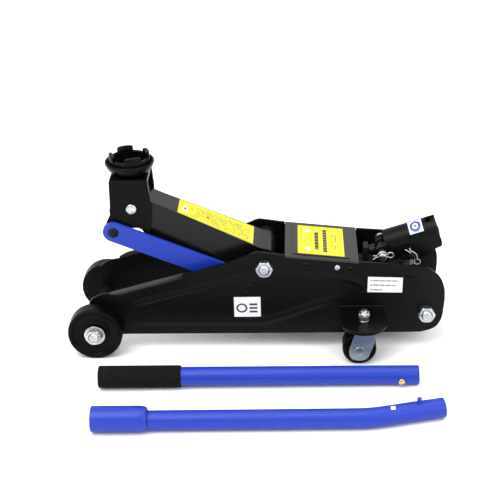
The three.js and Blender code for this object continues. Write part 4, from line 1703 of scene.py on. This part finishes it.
class JACK_OT_pump(bpy.types.Operator):
    """Hydraulic unit and its springs"""

    bl_idname = "jack.pump"
    bl_label = "Hydraulic unit"

    def execute(self, context):
        refined("pump_block", "cast iron", 0.9, 3)
        refined("reservoir_tube", "black paint", 0.5)
        refined("cylinder_gland", "steel", 0.5)
        refined("ram", "steel", 0.5)
        refined("pump_plunger", "dark steel", 0.5)
        for label, side in SIDES:
            base = (233.6, side * 37, 74)
            coil(f"return_spring_{label}", base, ALONG, 58.8, 14, 3.9, 0.7)
        coil("pump_spring", (379, 0, 92.9), UPRIGHT, 10.3, 4, 8.7, 0.75)
        expect("pump_block", "ram", "pump_plunger", "pump_spring", "return_spring_left")
        return {"FINISHED"}


class JACK_OT_socket(bpy.types.Operator):
    """Handle socket, its pins, clips and release valve"""

    bl_idname = "jack.socket"
    bl_label = "Handle socket"

    def execute(self, context):
        refined("handle_socket", "black paint", 0.7, 3)
        socket_hardware()
        refined("valve_yoke", "dark steel", 0.4)
        refined("release_valve", "dark steel", 0.4)
        expect("handle_socket", "valve_yoke", "release_valve", "pump_pin", "front_clip", "rear_clip")
        return {"FINISHED"}


class JACK_OT_handle(bpy.types.Operator):
    """Loose upper and lower handle halves"""

    bl_idname = "jack.handle"
    bl_label = "Loose handle"

    def execute(self, context):
        sizes = context.scene.jack_sizes
        upper_tube(sizes.tube_radius)
        foam_grip(sizes.tube_radius, sizes.grip_radius)
        lock_button()
        lower_handle()
        expect("upper_handle_tube", "foam_grip", "lock_button", "lower_handle_tube")
        return {"FINISHED"}


class JACK_OT_labels(bpy.types.Operator):
    """Printed sheets with plain marks"""

    bl_idname = "jack.labels"
    bl_label = "Labels"

    def execute(self, context):
        labels()
        expect("cover_label", "arm_label", "pictogram_label", "text_label", "socket_label", "tube_label")
        return {"FINISHED"}


class JACK_OT_studio(bpy.types.Operator):
    """Floor, lamps and camera"""

    bl_idname = "jack.studio"
    bl_label = "Studio"

    def execute(self, context):
        studio()
        expect("floor")
        if context.scene.camera is None:
            raise RuntimeError("the camera was not made")
        return {"FINISHED"}


class JACK_PT_panel(bpy.types.Panel):
    """Build buttons and settings"""

    bl_idname = "JACK_PT_panel"
    bl_label = "Trolley jack"
    bl_space_type = "VIEW_3D"
    bl_region_type = "UI"
    bl_category = "Jack"

    def draw(self, context):
        """Lists the build buttons, then the settings."""
        for operator in OPERATORS:
            self.layout.operator(operator.bl_idname)
        for settings in (context.scene.jack_sizes, context.scene.jack_colours):
            for key in settings.__annotations__:
                self.layout.prop(settings, key)


OPERATORS = (
    JACK_OT_frame,
    JACK_OT_wheels,
    JACK_OT_lift,
    JACK_OT_pump,
    JACK_OT_socket,
    JACK_OT_handle,
    JACK_OT_labels,
    JACK_OT_studio,
)


def register():
    """Adds the settings, operators and panel."""
    for cls in (JackColours, JackSizes, *OPERATORS, JACK_PT_panel):
        bpy.utils.register_class(cls)
    bpy.types.Scene.jack_colours = bpy.props.PointerProperty(type=JackColours)
    bpy.types.Scene.jack_sizes = bpy.props.PointerProperty(type=JackSizes)


def unregister():
    """Takes them away again."""
    del bpy.types.Scene.jack_colours
    del bpy.types.Scene.jack_sizes
    for cls in (JACK_PT_panel, *reversed(OPERATORS), JackSizes, JackColours):
        bpy.utils.unregister_class(cls)


def main():
    """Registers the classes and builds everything."""
    register()
    bpy.ops.jack.frame()
    bpy.ops.jack.wheels()
    bpy.ops.jack.lift()
    bpy.ops.jack.pump()
    bpy.ops.jack.socket()
    bpy.ops.jack.handle()
    bpy.ops.jack.labels()
    bpy.ops.jack.studio()


if __name__ == "__main__":
    main()
